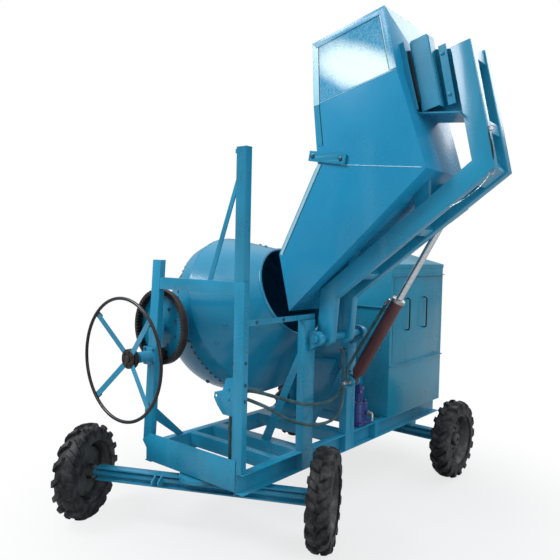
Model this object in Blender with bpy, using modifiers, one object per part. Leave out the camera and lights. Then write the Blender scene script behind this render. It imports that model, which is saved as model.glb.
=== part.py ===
"""Concrete mixer: tilting drum, geared hand wheel, hydraulic loading hopper, four wheels.

The design frame has X across the chassis towards the hopper, Y along the chassis towards the
engine cabin and Z up from the ground. Y = 0 is the near face of the portal. The whole model
hangs from one empty that moves this frame so that the origin is under the middle of the machine.
Units are metres.
"""
import math

import bmesh
import bpy
from mathutils import Matrix, Vector

# ---------------------------------------------------------------- driving dimensions
GAP = 0.0003                # space left between two solids that touch
ROUND = 24                  # facets of a shaft and of the bore around it

MIDDLE = (0.332, 1.2018)     # point of the design frame that becomes the origin

TYRE_RADIUS = 0.365
TYRE_WIDTH = 0.165
RIM_RADIUS = 0.23
HALF_TRACK = 0.935
SPINDLE_RADIUS = 0.025
AXLE_HEIGHT = TYRE_RADIUS * math.cos(math.pi / ROUND)
AXLE_DEPTH = 0.075
AXLE_BEAM = 0.10
FRONT_AXLE_Y = 0.092
REAR_AXLE_Y = 2.476
STEER_AT_REST = math.radians(25.8)
TURNTABLE_RADIUS = 0.15
TURNTABLE_PLATE = 0.0125

CHASSIS_LENGTH = 3.06
CHASSIS_HALF = 0.522
RAIL_BOTTOM = 0.441
RAIL_HEIGHT = 0.142
RAIL_FLANGE = 0.07
RAIL_TOP = RAIL_BOTTOM + RAIL_HEIGHT
RAIL_INNER = CHASSIS_HALF - RAIL_FLANGE
STEEL = 0.006               # web and flange of the rolled sections

PORTAL_TOP = 1.88
PORTAL_DEPTH = 0.05
PORTAL_WIDTH = 0.09
PORTAL_RIGHT = 0.457        # middle of the right upright
PORTAL_LEFT = -0.505        # middle of the left upright at the rail
PORTAL_LEAN = 0.0655        # sideways run of the left upright per metre of height
MAST_TOP = 2.775
MAST_WIDTH = 0.085
MAST_DEPTH = 0.06

TRUNNION = Vector((-0.49, 0.95, 1.483))     # where the tilt axis meets the drum's axis
DRUM_TILT = 0.413
TRUNNION_RADIUS = 0.03
BELLY_RADIUS = 0.69
MOUTH_RADIUS = 0.37
MOUTH_REACH = 0.712         # from the trunnion axis to the mouth, along the drum's axis
BELLY_END = 0.22
BOWL_DEPTH = 0.585
BOWL_FLOOR = 0.17
DRUM_SHEET = 0.005
DRUM_ROUND = 32
FLANGE_AT = 0.0953          # joint between bowl and cone, along the drum's axis
DRUM_AXLE_RADIUS = 0.034

TILT_MODULE = 0.008
TILT_RING_TEETH = 66
TILT_PINION_TEETH = 12
TILT_RING_OUTER = 0.298
TILT_RING_Y = 0.082
TILT_RING_FACE = 0.053
PINION_TURN = math.radians(5.0)             # pinion's place, turned from straight below

CROWN_TEETH = 80
DRIVE_TEETH = 8
CROWN_RADIUS = 0.675
DRIVE_RADIUS = 0.0685
DRIVE_SHAFT_RADIUS = 0.02
YOKE_REACH = 0.748          # half of the yoke's width, to its outer face
YOKE_DEPTH = 0.66
YOKE_PLATE = 0.014
YOKE_HALF_BREADTH = 0.065
REAR_FRAME_Y = 1.73

WHEEL_RADIUS = 0.455
WHEEL_TUBE = 0.0135
WHEEL_Y = -0.266
HUB_Y = -0.175
HUB_RADIUS = 0.075
HAND_SHAFT_RADIUS = 0.015

PIVOT = Vector((0.59, 0.95, 1.445))         # hopper's hinge
PIVOT_RADIUS = 0.03
POST_WIDTH = 0.125
POST_1_Y = 0.655
POST_2_Y = 1.25
POST_1_TOP = 1.5825
POST_2_TOP = 1.50
ARM_DEPTH = 0.13
ARM_THICK = 0.075
ARM_NEAR_Y = 0.80
ARM_FAR_Y = 1.055
BUCKET_HALF = 0.34
BUCKET_TIP_HALF = 0.26
BUCKET_SHEET = 0.004

CYLINDER_Y = 1.187
CYLINDER_BASE = Vector((0.62, CYLINDER_Y, 1.06))
ROD_EYE = Vector((1.36, CYLINDER_Y, 2.36))
BARREL_LENGTH = 0.79
BARREL_RADIUS = 0.05
ROD_RADIUS = 0.026
PISTON_BORE = 0.040
PISTON_AT = 0.645           # inner end of the piston when the hopper is up
GLAND_AT = 0.765
CYLINDER_PIN = 0.015
HOSE_RADIUS = 0.013

CABIN_Y = 1.95
CABIN_TOP = 2.0
CABIN_SHEET = 0.004
PANEL_LOW = 1.085
PANEL_HIGH = 1.88
PANEL_INSET = 0.05          # from the cabin's corners to the panel's ends

VALVE_Y = 0.06
LEVER_PIVOT = Vector((0.365, VALVE_Y, 1.165))

# ---------------------------------------------------------------- scene, finishes, carriers
for leftover in list(bpy.data.objects):
    bpy.data.objects.remove(leftover, do_unlink=True)
for old in list(bpy.data.collections):
    bpy.data.collections.remove(old)

MIXER = bpy.data.collections.new("concrete_mixer")
CUTTERS = bpy.data.collections.new("cutters")
bpy.context.scene.collection.children.link(MIXER)
bpy.context.scene.collection.children.link(CUTTERS)


def finish(name, colour, roughness, metallic=0.0):
    """A Principled material."""
    made = bpy.data.materials.new(name)
    made.use_nodes = True
    shader = made.node_tree.nodes["Principled BSDF"]
    shader.inputs["Base Color"].default_value = (*colour, 1.0)
    shader.inputs["Roughness"].default_value = roughness
    shader.inputs["Metallic"].default_value = metallic
    return made


BLUE = finish("blue_paint", (0.03, 0.30, 0.50), 0.3)
GREASY = finish("greasy_iron", (0.03, 0.025, 0.022), 0.5, 0.5)
BARE = finish("bare_steel", (0.45, 0.45, 0.46), 0.35, 1.0)
CHROME = finish("chromed_rod", (0.75, 0.75, 0.77), 0.1, 1.0)
PRIMER = finish("red_primer", (0.11, 0.035, 0.03), 0.45)
RUBBER = finish("tyre_rubber", (0.025, 0.025, 0.027), 0.8)
BLACK = finish("black_paint", (0.02, 0.02, 0.022), 0.4)
PUMP_BLUE = finish("pump_blue", (0.03, 0.03, 0.16), 0.4)
HOSE = finish("hose_rubber", (0.04, 0.06, 0.07), 0.6)
CABIN_GREY = finish("engine_grey", (0.10, 0.11, 0.12), 0.5)


def carrier(name, place=(0.0, 0.0, 0.0), parent=None):
    """An empty on a joint's axis, given in the design frame."""
    empty = bpy.data.objects.new(name, None)
    MIXER.objects.link(empty)
    if parent is None:
        empty.location = place
        return empty
    empty.parent = parent
    origin = Vector(parent["design_place"]) if "design_place" in parent else Vector((0, 0, 0))
    empty.location = Vector(place) - origin
    empty["design_place"] = tuple(place)
    return empty


def along_drum(reach, across=0.0, rise=0.0):
    """A point given along the drum's axis, along Y and at right angles to both."""
    return TRUNNION + DRUM_AXIS * reach + Vector((0, across, 0)) + DRUM_NORMAL * rise


DRUM_AXIS = Vector((math.cos(DRUM_TILT), 0.0, math.sin(DRUM_TILT)))
DRUM_NORMAL = Vector((-math.sin(DRUM_TILT), 0.0, math.cos(DRUM_TILT)))
PINION_DISTANCE = TILT_MODULE * (TILT_RING_TEETH - TILT_PINION_TEETH) / 2
HAND_X = TRUNNION.x + PINION_DISTANCE * math.sin(PINION_TURN)
HAND_Z = TRUNNION.z - PINION_DISTANCE * math.cos(PINION_TURN)
CYLINDER_AXIS = (ROD_EYE - CYLINDER_BASE).normalized()

BASE = carrier("mixer", (-MIDDLE[0], -MIDDLE[1], 0.0))
STEER = carrier("steer_axis", (0.0, FRONT_AXLE_Y, AXLE_HEIGHT), BASE)
STEER.rotation_euler.z = STEER_AT_REST
TILT = carrier("tilt_axis", TRUNNION, BASE)
SPIN = carrier("drum_axis", TRUNNION, TILT)
DRIVE = carrier("drive_axis", TRUNNION, TILT)
HAND = carrier("hand_wheel_axis", (HAND_X, HUB_Y, HAND_Z), BASE)
LIFT = carrier("hopper_axis", PIVOT, BASE)
SWING = carrier("cylinder_axis", CYLINDER_BASE, BASE)
SLIDE = carrier("rod_axis", ROD_EYE, SWING)
LEVER = carrier("lever_axis", LEVER_PIVOT, BASE)
PANEL = carrier("panel_axis", (CHASSIS_HALF + 0.004, CABIN_Y, PANEL_HIGH), BASE)
CRANK = carrier("crank_axis", (0.32, 2.5, 0.98), BASE)
WHEELS = {}
for end, side in (("front", "right"), ("front", "left"), ("rear", "right"), ("rear", "left")):
    axle_y = FRONT_AXLE_Y if end == "front" else REAR_AXLE_Y
    wheel_x = HALF_TRACK if side == "right" else -HALF_TRACK
    WHEELS[end, side] = carrier(f"{end}_{side}_axis", (wheel_x, axle_y, AXLE_HEIGHT),
                                STEER if end == "front" else BASE)


# ---------------------------------------------------------------- tools
def bore(radius):
    """Radius of a faceted hole that clears a faceted shaft of this radius at any turn."""
    return (radius + GAP) / math.cos(math.pi / ROUND)


def circle(radius, centre=(0.0, 0.0), facets=ROUND, turn=0.0):
    """Points of a round outline."""
    return [(centre[0] + radius * math.cos(turn + 2 * math.pi * k / facets),
             centre[1] + radius * math.sin(turn + 2 * math.pi * k / facets)) for k in range(facets)]


def arc(centre, radius, start, end, steps):
    """Points along a part of a circle; angles in degrees."""
    angles = [math.radians(start + (end - start) * k / steps) for k in range(steps + 1)]
    return [(centre[0] + radius * math.cos(a), centre[1] + radius * math.sin(a)) for a in angles]


def rectangle(x_low, y_low, x_high, y_high):
    """A rectangular outline."""
    return [(x_low, y_low), (x_high, y_low), (x_high, y_high), (x_low, y_high)]


def ribbon(path, width):
    """Outline of a strip of even width along a bent path, with mitred corners."""
    half = width / 2
    points = [Vector(p) for p in path]
    left, right = [], []
    for k, point in enumerate(points):
        before = (point - points[k - 1]).normalized() if k else None
        after = (points[k + 1] - point).normalized() if k + 1 < len(points) else None
        along = (before or after) if not (before and after) else (before + after).normalized()
        side = Vector((-along.y, along.x))
        reach = half / (side.dot(Vector((-(after or before).y, (after or before).x))))
        left.append(tuple(point + side * reach))
        right.append(tuple(point - side * reach))
    return left + right[::-1]


def in_xz(y_low, y_high):
    """Place for an outline in X and Z that fills Y from y_low to y_high."""
    place = Matrix(((1, 0, 0, 0), (0, 0, -1, (y_low + y_high) / 2), (0, 1, 0, 0), (0, 0, 0, 1)))
    return place, y_high - y_low


def in_yz(x_low, x_high):
    """Place for an outline in Y and Z that fills X."""
    place = Matrix(((0, 0, 1, (x_low + x_high) / 2), (1, 0, 0, 0), (0, 1, 0, 0), (0, 0, 0, 1)))
    return place, x_high - x_low


def in_xy(z_low, z_high):
    """Place for an outline in X and Y that fills Z."""
    return Matrix.Translation((0, 0, (z_low + z_high) / 2)), z_high - z_low


def axes(origin, first, second, third):
    """A matrix with the given origin and axes."""
    made = Matrix((first, second, third)).transposed().to_4x4()
    made.translation = origin
    return made


def channel(x_low, y_low, x_high, y_high, open_to):
    """Outline of a rolled channel in a box, open towards +x, -x, +y or -y."""
    t = STEEL
    if open_to == "+x":
        return [(x_low, y_low), (x_high, y_low), (x_high, y_low + t), (x_low + t, y_low + t),
                (x_low + t, y_high - t), (x_high, y_high - t), (x_high, y_high), (x_low, y_high)]
    if open_to == "-x":
        return [(x_high + x_low - x, y) for x, y in channel(x_low, y_low, x_high, y_high, "+x")][::-1]
    turned = [(y, x) for x, y in channel(y_low, x_low, y_high, x_high, "+x")][::-1]
    if open_to == "+y":
        return turned
    return [(x, y_high + y_low - y) for x, y in turned][::-1]


class Piece:
    """One sub-part, built up from simple solids that a union joins into one body."""

    def __init__(self, name):
        self.name = name
        self.solids = []

    def keep(self, solid):
        """Keep one closed solid."""
        mesh = bpy.data.meshes.new(self.name)
        solid.to_mesh(mesh)
        solid.free()
        self.solids.append(mesh)

    def take(self, maker):
        """Keep the evaluated mesh of a helper object, welded, then remove that object."""
        CUTTERS.objects.link(maker)
        graph = bpy.context.evaluated_depsgraph_get()
        graph.update()
        solid = bmesh.new()
        made = bpy.data.meshes.new_from_object(maker.evaluated_get(graph))
        solid.from_mesh(made)
        solid.transform(maker.matrix_world)
        bmesh.ops.remove_doubles(solid, verts=solid.verts, dist=1e-5)
        bmesh.ops.recalc_face_normals(solid, faces=solid.faces)
        self.keep(solid)
        bpy.data.meshes.remove(made)
        bpy.data.objects.remove(maker, do_unlink=True)

    def box(self, low, high):
        """A box between two corners."""
        size = [b - a for a, b in zip(low, high)]
        middle = [(a + b) / 2 for a, b in zip(low, high)]
        place = Matrix.Translation(middle) @ Matrix.Diagonal((*size, 1.0))
        solid = bmesh.new()
        bmesh.ops.create_cube(solid, size=1.0, matrix=place)
        self.keep(solid)

    def bar(self, start, end, width_axis, width, thickness):
        """A flat bar from start to end, its width along width_axis."""
        start, end = Vector(start), Vector(end)
        along = (end - start).normalized()
        thick_axis = along.cross(Vector(width_axis)).normalized()
        across = thick_axis.cross(along)
        place = axes((start + end) / 2, along, across, thick_axis)
        size = Matrix.Diagonal(((end - start).length, width, thickness, 1.0))
        solid = bmesh.new()
        bmesh.ops.create_cube(solid, size=1.0, matrix=place @ size)
        self.keep(solid)

    def rod(self, start, end, radius, facets=ROUND, end_radius=None):
        """A cylinder, or a cone, between two points."""
        start, end = Vector(start), Vector(end)
        along = end - start
        place = Matrix.Translation((start + end) / 2) @ along.to_track_quat("Z", "Y").to_matrix().to_4x4()
        solid = bmesh.new()
        bmesh.ops.create_cone(solid, cap_ends=True, segments=facets, radius1=radius,
                              radius2=radius if end_radius is None else end_radius,
                              depth=along.length, matrix=place)
        self.keep(solid)

    def ball(self, centre, radius):
        """A sphere."""
        solid = bmesh.new()
        bmesh.ops.create_uvsphere(solid, u_segments=12, v_segments=8, radius=radius,
                                  matrix=Matrix.Translation(centre))
        self.keep(solid)

    def plate(self, outlines, slab):
        """A flat outline, with any holes after the first outline, given its thickness."""
        place, thickness = slab
        curve = bpy.data.curves.new(self.name, "CURVE")
        curve.dimensions = "2D"
        curve.fill_mode = "BOTH"
        curve.extrude = thickness / 2
        for outline in outlines:
            spline = curve.splines.new("POLY")
            spline.points.add(len(outline) - 1)
            for point, (u, v) in zip(spline.points, outline):
                point.co = (u, v, 0.0, 1.0)
            spline.use_cyclic_u = True
        maker = bpy.data.objects.new(self.name, curve)
        maker.matrix_world = place
        self.take(maker)

    def tube(self, start, end, outer, inner, facets=ROUND):
        """A round tube between two points."""
        start, end = Vector(start), Vector(end)
        turn = (end - start).to_track_quat("Z", "Y").to_matrix().to_4x4()
        place = Matrix.Translation((start + end) / 2) @ turn
        self.plate([circle(outer, facets=facets), circle(inner, facets=facets)],
                   (place, (end - start).length))

    def turned(self, profile, origin, axis, facets=ROUND, closed=True, turn=0.0):
        """A turned solid; the profile is (distance along the axis, radius)."""
        mesh = bpy.data.meshes.new(self.name)
        edges = [(k, k + 1) for k in range(len(profile) - 1)]
        if closed:
            edges.append((len(profile) - 1, 0))
        mesh.from_pydata([(radius, 0.0, along) for along, radius in profile], edges, [])
        maker = bpy.data.objects.new(self.name, mesh)
        screw = maker.modifiers.new("turn", "SCREW")
        screw.steps = screw.render_steps = facets
        screw.merge_threshold = 1e-5
        screw.use_merge_vertices = True
        spin = Vector(axis).to_track_quat("Z", "Y").to_matrix().to_4x4()
        maker.matrix_world = Matrix.Translation(origin) @ spin @ Matrix.Rotation(turn, 4, "Z")
        self.take(maker)

    def hose(self, route, radius, step=0.03):
        """A round hose along a smooth curve through the points of its route."""
        guide = bpy.data.curves.new("guide", "CURVE")
        guide.dimensions = "3D"
        spline = guide.splines.new("POLY")
        samples = smooth(route, step)
        spline.points.add(len(samples) - 1)
        for point, sample in zip(spline.points, samples):
            point.co = (*sample, 1.0)
        guide.bevel_depth = radius
        guide.bevel_resolution = 2
        guide.use_fill_caps = True
        self.take(bpy.data.objects.new("guide", guide))

    def done(self, material, on=None):
        """Make the object, join its solids, dress it and hang it on its carrier."""
        on = on or BASE
        shift = Matrix.Identity(4)
        if on is not BASE:
            shift = Matrix.Translation(-Vector(on["design_place"]))
        made = None
        others = None
        for mesh in self.solids:
            mesh.transform(shift)
            mesh.materials.append(material)
            mesh.shade_smooth()
            mesh.set_sharp_from_angle(angle=math.radians(35))
            solid = bpy.data.objects.new(self.name, mesh)
            solid.parent = on
            if made is None:
                made = solid
                MIXER.objects.link(made)
                continue
            if others is None:
                others = bpy.data.collections.new(f"{self.name}_solids")
                CUTTERS.children.link(others)
            others.objects.link(solid)
            solid.hide_render = True
            solid.display_type = "WIRE"
        if others is not None:
            union = made.modifiers.new("join", "BOOLEAN")
            union.operation = "UNION"
            union.solver = "EXACT"
            union.operand_type = "COLLECTION"
            union.collection = others
        return made


def smooth(route, step):
    """Points about a step apart on a Catmull-Rom curve through a route."""
    points = [Vector(p) for p in route]
    points = [2 * points[0] - points[1]] + points + [2 * points[-1] - points[-2]]
    samples = []
    for k in range(1, len(points) - 2):
        a, b, c, d = points[k - 1:k + 3]
        pieces = max(1, round((c - b).length / step))
        for j in range(pieces):
            t = j / pieces
            samples.append(0.5 * (2 * b + (c - a) * t + (2 * a - 5 * b + 4 * c - d) * t * t
                                  + (3 * b - a - 3 * c + d) * t ** 3))
    samples.append(points[-2])
    return samples


def cut(target, name, make):
    """Cut a target with a solid that make() adds to a Piece, through an EXACT Boolean."""
    tool = Piece(name)
    make(tool)
    cutter = tool.done(BLUE)
    MIXER.objects.unlink(cutter)
    CUTTERS.objects.link(cutter)
    cutter.hide_render = True
    cutter.display_type = "WIRE"
    boolean = target.modifiers.new(name, "BOOLEAN")
    boolean.operation = "DIFFERENCE"
    boolean.solver = "EXACT"
    boolean.object = cutter


def drill(target, name, origin, axis, radius, start, end):
    """Cut a bore that clears a shaft of this radius, between two distances along its axis."""
    origin = Vector(origin)
    axis = Vector(axis)
    cut(target, name, lambda tool: tool.rod(origin + axis * start, origin + axis * end, bore(radius)))


def gear_outline(teeth, root, tip, root_share, tip_share, turn):
    """Outline of straight-flanked teeth; the shares are parts of the tooth pitch."""
    points = []
    for k in range(teeth):
        for radius, share in ((root, -root_share), (tip, -tip_share), (tip, tip_share), (root, root_share)):
            angle = turn + (k + share / 2) * 2 * math.pi / teeth
            points.append((radius * math.cos(angle), radius * math.sin(angle)))
    return points


def mirrored(points):
    """The same outline on the other side of X = 0."""
    return [(-x, y) for x, y in points][::-1]


# ---------------------------------------------------------------- chassis
def chassis():
    """The welded ladder of two channels open outwards and its cross members, and the front apron."""
    frame = Piece("chassis_frame")
    section = channel(RAIL_INNER, RAIL_BOTTOM, CHASSIS_HALF, RAIL_TOP, "+x")
    deep = STEEL / 2
    for outline, sign in ((section, 1), (mirrored(section), -1)):
        frame.plate([outline], in_xz(0.0, CHASSIS_LENGTH))
        for start, width in ((POST_1_Y, POST_WIDTH), (POST_2_Y, POST_WIDTH), (REAR_FRAME_Y, 0.055)):
            low, high = sorted((sign * (RAIL_INNER + deep), sign * CHASSIS_HALF))
            frame.box((low, start, RAIL_BOTTOM + deep), (high, start + width, RAIL_TOP - deep))
    reach = RAIL_INNER + deep
    front = channel(FRONT_AXLE_Y - 0.0625, RAIL_BOTTOM, FRONT_AXLE_Y + 0.0625, RAIL_BOTTOM + 0.09, "-y")
    frame.plate([front], in_yz(-reach, reach))
    for start, width in ((0.40, 0.065), (POST_1_Y, POST_WIDTH), (POST_2_Y, POST_WIDTH),
                         (CABIN_Y - 0.12, 0.08), (REAR_AXLE_Y - 0.05, 0.10),
                         (CHASSIS_LENGTH - 0.08, 0.075)):
        frame.plate([channel(start, RAIL_BOTTOM + 0.04, start + width, RAIL_TOP - 0.0003, "-y")],
                    in_yz(-reach, reach))
    frame.done(BLUE)

    apron = Piece("front_apron")
    left = -CHASSIS_HALF
    outline = [(left + 0.02, 0.452), (RAIL_INNER, 0.452), (RAIL_INNER, 0.668), (left + 0.065, 0.668),
               (left - 0.03, 0.60), (left + 0.02, 0.545)]
    apron.plate([outline], in_xz(-GAP - STEEL, -GAP))
    apron.done(BLUE)


def portal_middle(height):
    """X of the leaning left upright's middle at a height."""
    return PORTAL_LEFT + PORTAL_LEAN * (height - RAIL_TOP)


def portal():
    """The near portal with its beam and knee brace, and the mast with its stay."""
    frame = Piece("portal_frame")
    half = PORTAL_WIDTH / 2
    right = channel(PORTAL_RIGHT - half, 0.0, PORTAL_RIGHT + half, PORTAL_DEPTH, "+y")
    frame.plate([right], in_xy(RAIL_TOP + GAP, PORTAL_TOP))
    frame.plate([channel(-half, 0.0, half, PORTAL_DEPTH, "+y")], in_xy(RAIL_TOP + GAP, 2.01))
    lean = Matrix.Identity(4)
    lean[0][2] = PORTAL_LEAN
    lean[0][3] = PORTAL_LEFT - PORTAL_LEAN * RAIL_TOP
    frame.solids[-1].transform(lean)
    start = portal_middle(PORTAL_TOP) + half - STEEL / 2
    frame.plate([channel(0.002, PORTAL_TOP - 0.09, PORTAL_DEPTH - 0.002, PORTAL_TOP - 0.002, "+x")],
                in_yz(start, PORTAL_RIGHT - half + STEEL / 2))
    brace = portal_middle(0.83)
    foot = RAIL_TOP + GAP
    frame.plate([[(0.003, 0.80), (0.003, 0.87), (PORTAL_DEPTH, 0.87), (0.36, foot), (0.29, foot)]],
                in_yz(brace - 0.004, brace + 0.004))
    made = frame.done(BLUE)
    cut(made, "hand_shaft_hole",
        lambda tool: tool.rod((HAND_X, -0.05, HAND_Z), (HAND_X, 0.03, HAND_Z), bore(HAND_SHAFT_RADIUS)))

    mast = Piece("mast")
    left = PORTAL_RIGHT - MAST_WIDTH / 2 - 0.008
    right = left + MAST_WIDTH
    wall = 0.004
    mast.plate([rectangle(left, 0.001, right, 0.001 + MAST_DEPTH),
                rectangle(left + wall, 0.001 + wall, right - wall, 0.001 + MAST_DEPTH - wall)],
               in_xy(PORTAL_TOP + GAP, MAST_TOP))
    mast.box((left - 0.001, 0.0, MAST_TOP - 0.002), (right + 0.001, 0.002 + MAST_DEPTH, MAST_TOP + 0.006))
    mast.box((left - 0.02, 0.01, MAST_TOP - 0.035), (left + 0.002, 0.016, MAST_TOP - 0.005))
    mast.plate([[(0.135, PORTAL_TOP + GAP), (0.178, PORTAL_TOP + GAP), (left + 0.002, 2.50),
                 (left + 0.002, 2.60)]], in_xz(0.012, 0.020))
    mast.done(BLUE)


def rear_frame():
    """The post at the far side of the drum with the rear trunnion bearing on its head."""
    frame = Piece("rear_trunnion_frame")
    back = REAR_FRAME_Y + 0.055
    x, z = TRUNNION.x, TRUNNION.z
    frame.plate([channel(x - 0.036, REAR_FRAME_Y, x + 0.038, back, "-y")], in_xy(RAIL_TOP + GAP, z - 0.083))
    crest = [(x - 0.055, z - 0.086), (x + 0.055, z - 0.086)] + arc((x, z), 0.065, -25, 205, 14)
    frame.plate([crest], in_xz(REAR_FRAME_Y + 0.001, back - 0.001))
    foot = RAIL_TOP + GAP
    frame.plate([[(back - 0.003, 1.30), (back - 0.003, foot), (CABIN_Y - 0.01, foot), (CABIN_Y - 0.01, 0.66)]],
                in_yz(x - 0.004, x + 0.004))
    made = frame.done(BLUE)
    drill(made, "rear_trunnion_bore", TRUNNION, (0, 1, 0), 0.04, 0.75, 0.90)


# ---------------------------------------------------------------- bearings and fixed shafts
def bearings():
    """Housings of the front trunnion, of the hopper's shaft and of the hand wheel's shaft."""
    x, z = TRUNNION.x, TRUNNION.z
    front = Piece("trunnion_bearing")
    front.plate([rectangle(x - 0.075, z - 0.075, x + 0.098, z + 0.075)],
                in_xz(PORTAL_DEPTH + GAP, PORTAL_DEPTH + 0.012))
    front.rod((x, PORTAL_DEPTH + 0.008, z), (x, TILT_RING_Y + 0.02, z), 0.058)
    made = front.done(BLUE)
    drill(made, "trunnion_bore", TRUNNION, (0, 1, 0), TRUNNION_RADIUS, -0.95, -0.80)

    face = CHASSIS_HALF + GAP
    block = ([(face, PIVOT.z - 0.10), (face + 0.012, PIVOT.z - 0.10)]
             + arc((PIVOT.x, PIVOT.z), 0.055, -90, 90, 10) + [(face, PIVOT.z + 0.055)])
    for name, start in (("pivot_bearing_near", POST_1_Y + 0.035), ("pivot_bearing_far", POST_2_Y + 0.035)):
        node = Piece(name)
        node.plate([block, circle(bore(PIVOT_RADIUS), (PIVOT.x, PIVOT.z))], in_xz(start, start + 0.055))
        node.done(BLUE)

    hand = Piece("handwheel_bearing")
    hand.box((HAND_X - 0.075, -0.012, HAND_Z - 0.07), (HAND_X + 0.06, -GAP, HAND_Z + 0.07))
    hand.rod((HAND_X, -0.12, HAND_Z), (HAND_X, -0.006, HAND_Z), 0.042)
    made = hand.done(BLUE)
    drill(made, "hand_shaft_bore", (HAND_X, 0.0, HAND_Z), (0, 1, 0), HAND_SHAFT_RADIUS, -0.15, 0.02)

    shaft = Piece("pivot_shaft")
    shaft.rod((PIVOT.x, POST_1_Y + 0.005, PIVOT.z), (PIVOT.x, POST_2_Y + POST_WIDTH - 0.005, PIVOT.z),
              PIVOT_RADIUS)
    shaft.done(BARE)


# ---------------------------------------------------------------- hopper's posts
def hopper_posts():
    """Two channel posts with their braces, the bar below the drum's mouth, the cylinder's bracket."""
    inside = CHASSIS_HALF - STEEL / 2
    foot = RAIL_TOP + GAP
    for name, start, top in (("post_near", POST_1_Y, POST_1_TOP), ("post_far", POST_2_Y, POST_2_TOP)):
        post = Piece(name)
        post.plate([channel(RAIL_INNER, start, CHASSIS_HALF, start + POST_WIDTH, "-x")], in_xy(foot, top))
        post.plate([[(inside, top - 0.05), (inside, top - 0.18), (0.16, foot), (0.07, foot)]],
                   in_xz(start + 0.045, start + 0.053))
        post.done(BLUE)

    bar = Piece("mouth_bar")
    low = POST_1_TOP + GAP
    side = PORTAL_RIGHT + PORTAL_WIDTH / 2
    bar.plate([[(side - 0.04, low), (side, low), (side, low + 0.04), (side - 0.005, low + 0.04),
                (side - 0.005, low + 0.005), (side - 0.04, low + 0.005)]],
              in_xz(PORTAL_DEPTH + GAP, POST_1_Y + POST_WIDTH + 0.02))
    bar.done(BLUE)

    bracket = Piece("cylinder_bracket")
    x, y, z = CYLINDER_BASE
    back = CHASSIS_HALF + GAP
    bracket.box((back, y - 0.047, z - 0.08), (back + 0.010, POST_2_Y + POST_WIDTH, z + 0.08))
    cheek = [(back + 0.007, z - 0.06)] + arc((x, z), 0.038, -75, 75, 8) + [(back + 0.007, z + 0.06)]
    for start in (y - 0.041, y + 0.029):
        bracket.plate([cheek], in_xz(start, start + 0.012))
    bracket.rod((x, y - 0.05, z), (x, y + 0.05, z), CYLINDER_PIN)
    bracket.done(BLUE)


# ---------------------------------------------------------------- axles and wheels
def axles():
    """Front axle under its turntable, and the rear axle under the rails."""
    beam_low = AXLE_HEIGHT - AXLE_BEAM / 2
    beam_high = AXLE_HEIGHT + AXLE_BEAM / 2
    inner = HALF_TRACK - TYRE_WIDTH / 2 - 0.02
    tip = HALF_TRACK + 0.03

    def beam(piece, y):
        half = AXLE_DEPTH / 2
        piece.plate([[(y - half, beam_low), (y + half, beam_low), (y + half, beam_low + 0.012),
                      (y + 0.006, beam_low + 0.012), (y + 0.006, beam_high - 0.012),
                      (y + half, beam_high - 0.012), (y + half, beam_high), (y - half, beam_high),
                      (y - half, beam_high - 0.012), (y - 0.006, beam_high - 0.012),
                      (y - 0.006, beam_low + 0.012), (y - half, beam_low + 0.012)]],
                    in_yz(-inner, inner))
        piece.rod((-tip, y, AXLE_HEIGHT), (tip, y, AXLE_HEIGHT), SPINDLE_RADIUS)

    rear = Piece("rear_axle")
    beam(rear, REAR_AXLE_Y)
    for low in (-CHASSIS_HALF, RAIL_INNER):
        rear.box((low, REAR_AXLE_Y - 0.06, beam_high - 0.003),
                 (low + RAIL_FLANGE, REAR_AXLE_Y + 0.06, RAIL_BOTTOM - GAP))
    rear.done(BLUE)

    front = Piece("front_axle")
    beam(front, FRONT_AXLE_Y)
    split = (beam_high + RAIL_BOTTOM) / 2
    front.plate([circle(TURNTABLE_RADIUS, (0.0, FRONT_AXLE_Y))], in_xy(beam_high - 0.003, split - GAP))
    for x in (-0.34, 0.30):
        for side in (0.0, 0.05):
            near = FRONT_AXLE_Y - AXLE_DEPTH / 2
            front.plate([[(near + 0.004, AXLE_HEIGHT - 0.045), (near + 0.036, AXLE_HEIGHT),
                          (near + 0.004, AXLE_HEIGHT + 0.045)]
                         + arc((near - 0.05, AXLE_HEIGHT), 0.022, 90, 270, 6)],
                        in_yz(x + side, x + side + 0.010))
    front.done(BLUE, STEER)

    plate = Piece("turntable_plate")
    plate.plate([circle(TURNTABLE_RADIUS, (0.0, FRONT_AXLE_Y))], in_xy(split, RAIL_BOTTOM - GAP))
    plate.done(BLUE)


def wheels():
    """Four tyres on pressed rims; the last facet of each tyre lies flat on the ground."""
    half = TYRE_WIDTH / 2
    flat = math.pi / ROUND
    tyre_profile = [(-0.062, RIM_RADIUS), (-half, 0.275), (-half, 0.325), (-0.045, TYRE_RADIUS),
                    (0.045, TYRE_RADIUS), (half, 0.325), (half, 0.275), (0.062, RIM_RADIUS)]
    edge = RIM_RADIUS - GAP
    hub = bore(SPINDLE_RADIUS)
    for (end, side), axis in WHEELS.items():
        out = 1 if side == "right" else -1
        centre = Vector(axis["design_place"])
        direction = Vector((out, 0, 0))
        tyre = Piece(f"{end}_{side}_tyre")
        tyre.turned(tyre_profile, centre, direction, turn=flat)
        tyre.done(RUBBER, axis)
        rim = Piece(f"{end}_{side}_rim")
        rim.turned([(-0.062, edge), (0.062, edge), (0.062, edge - 0.014), (0.018, 0.20), (0.012, 0.10),
                    (0.045, 0.065), (0.045, hub), (-0.07, hub), (-0.062, 0.05), (0.004, 0.10),
                    (-0.062, edge - 0.014)], centre, direction, turn=flat)
        rim.done(BLACK, axis)


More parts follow.
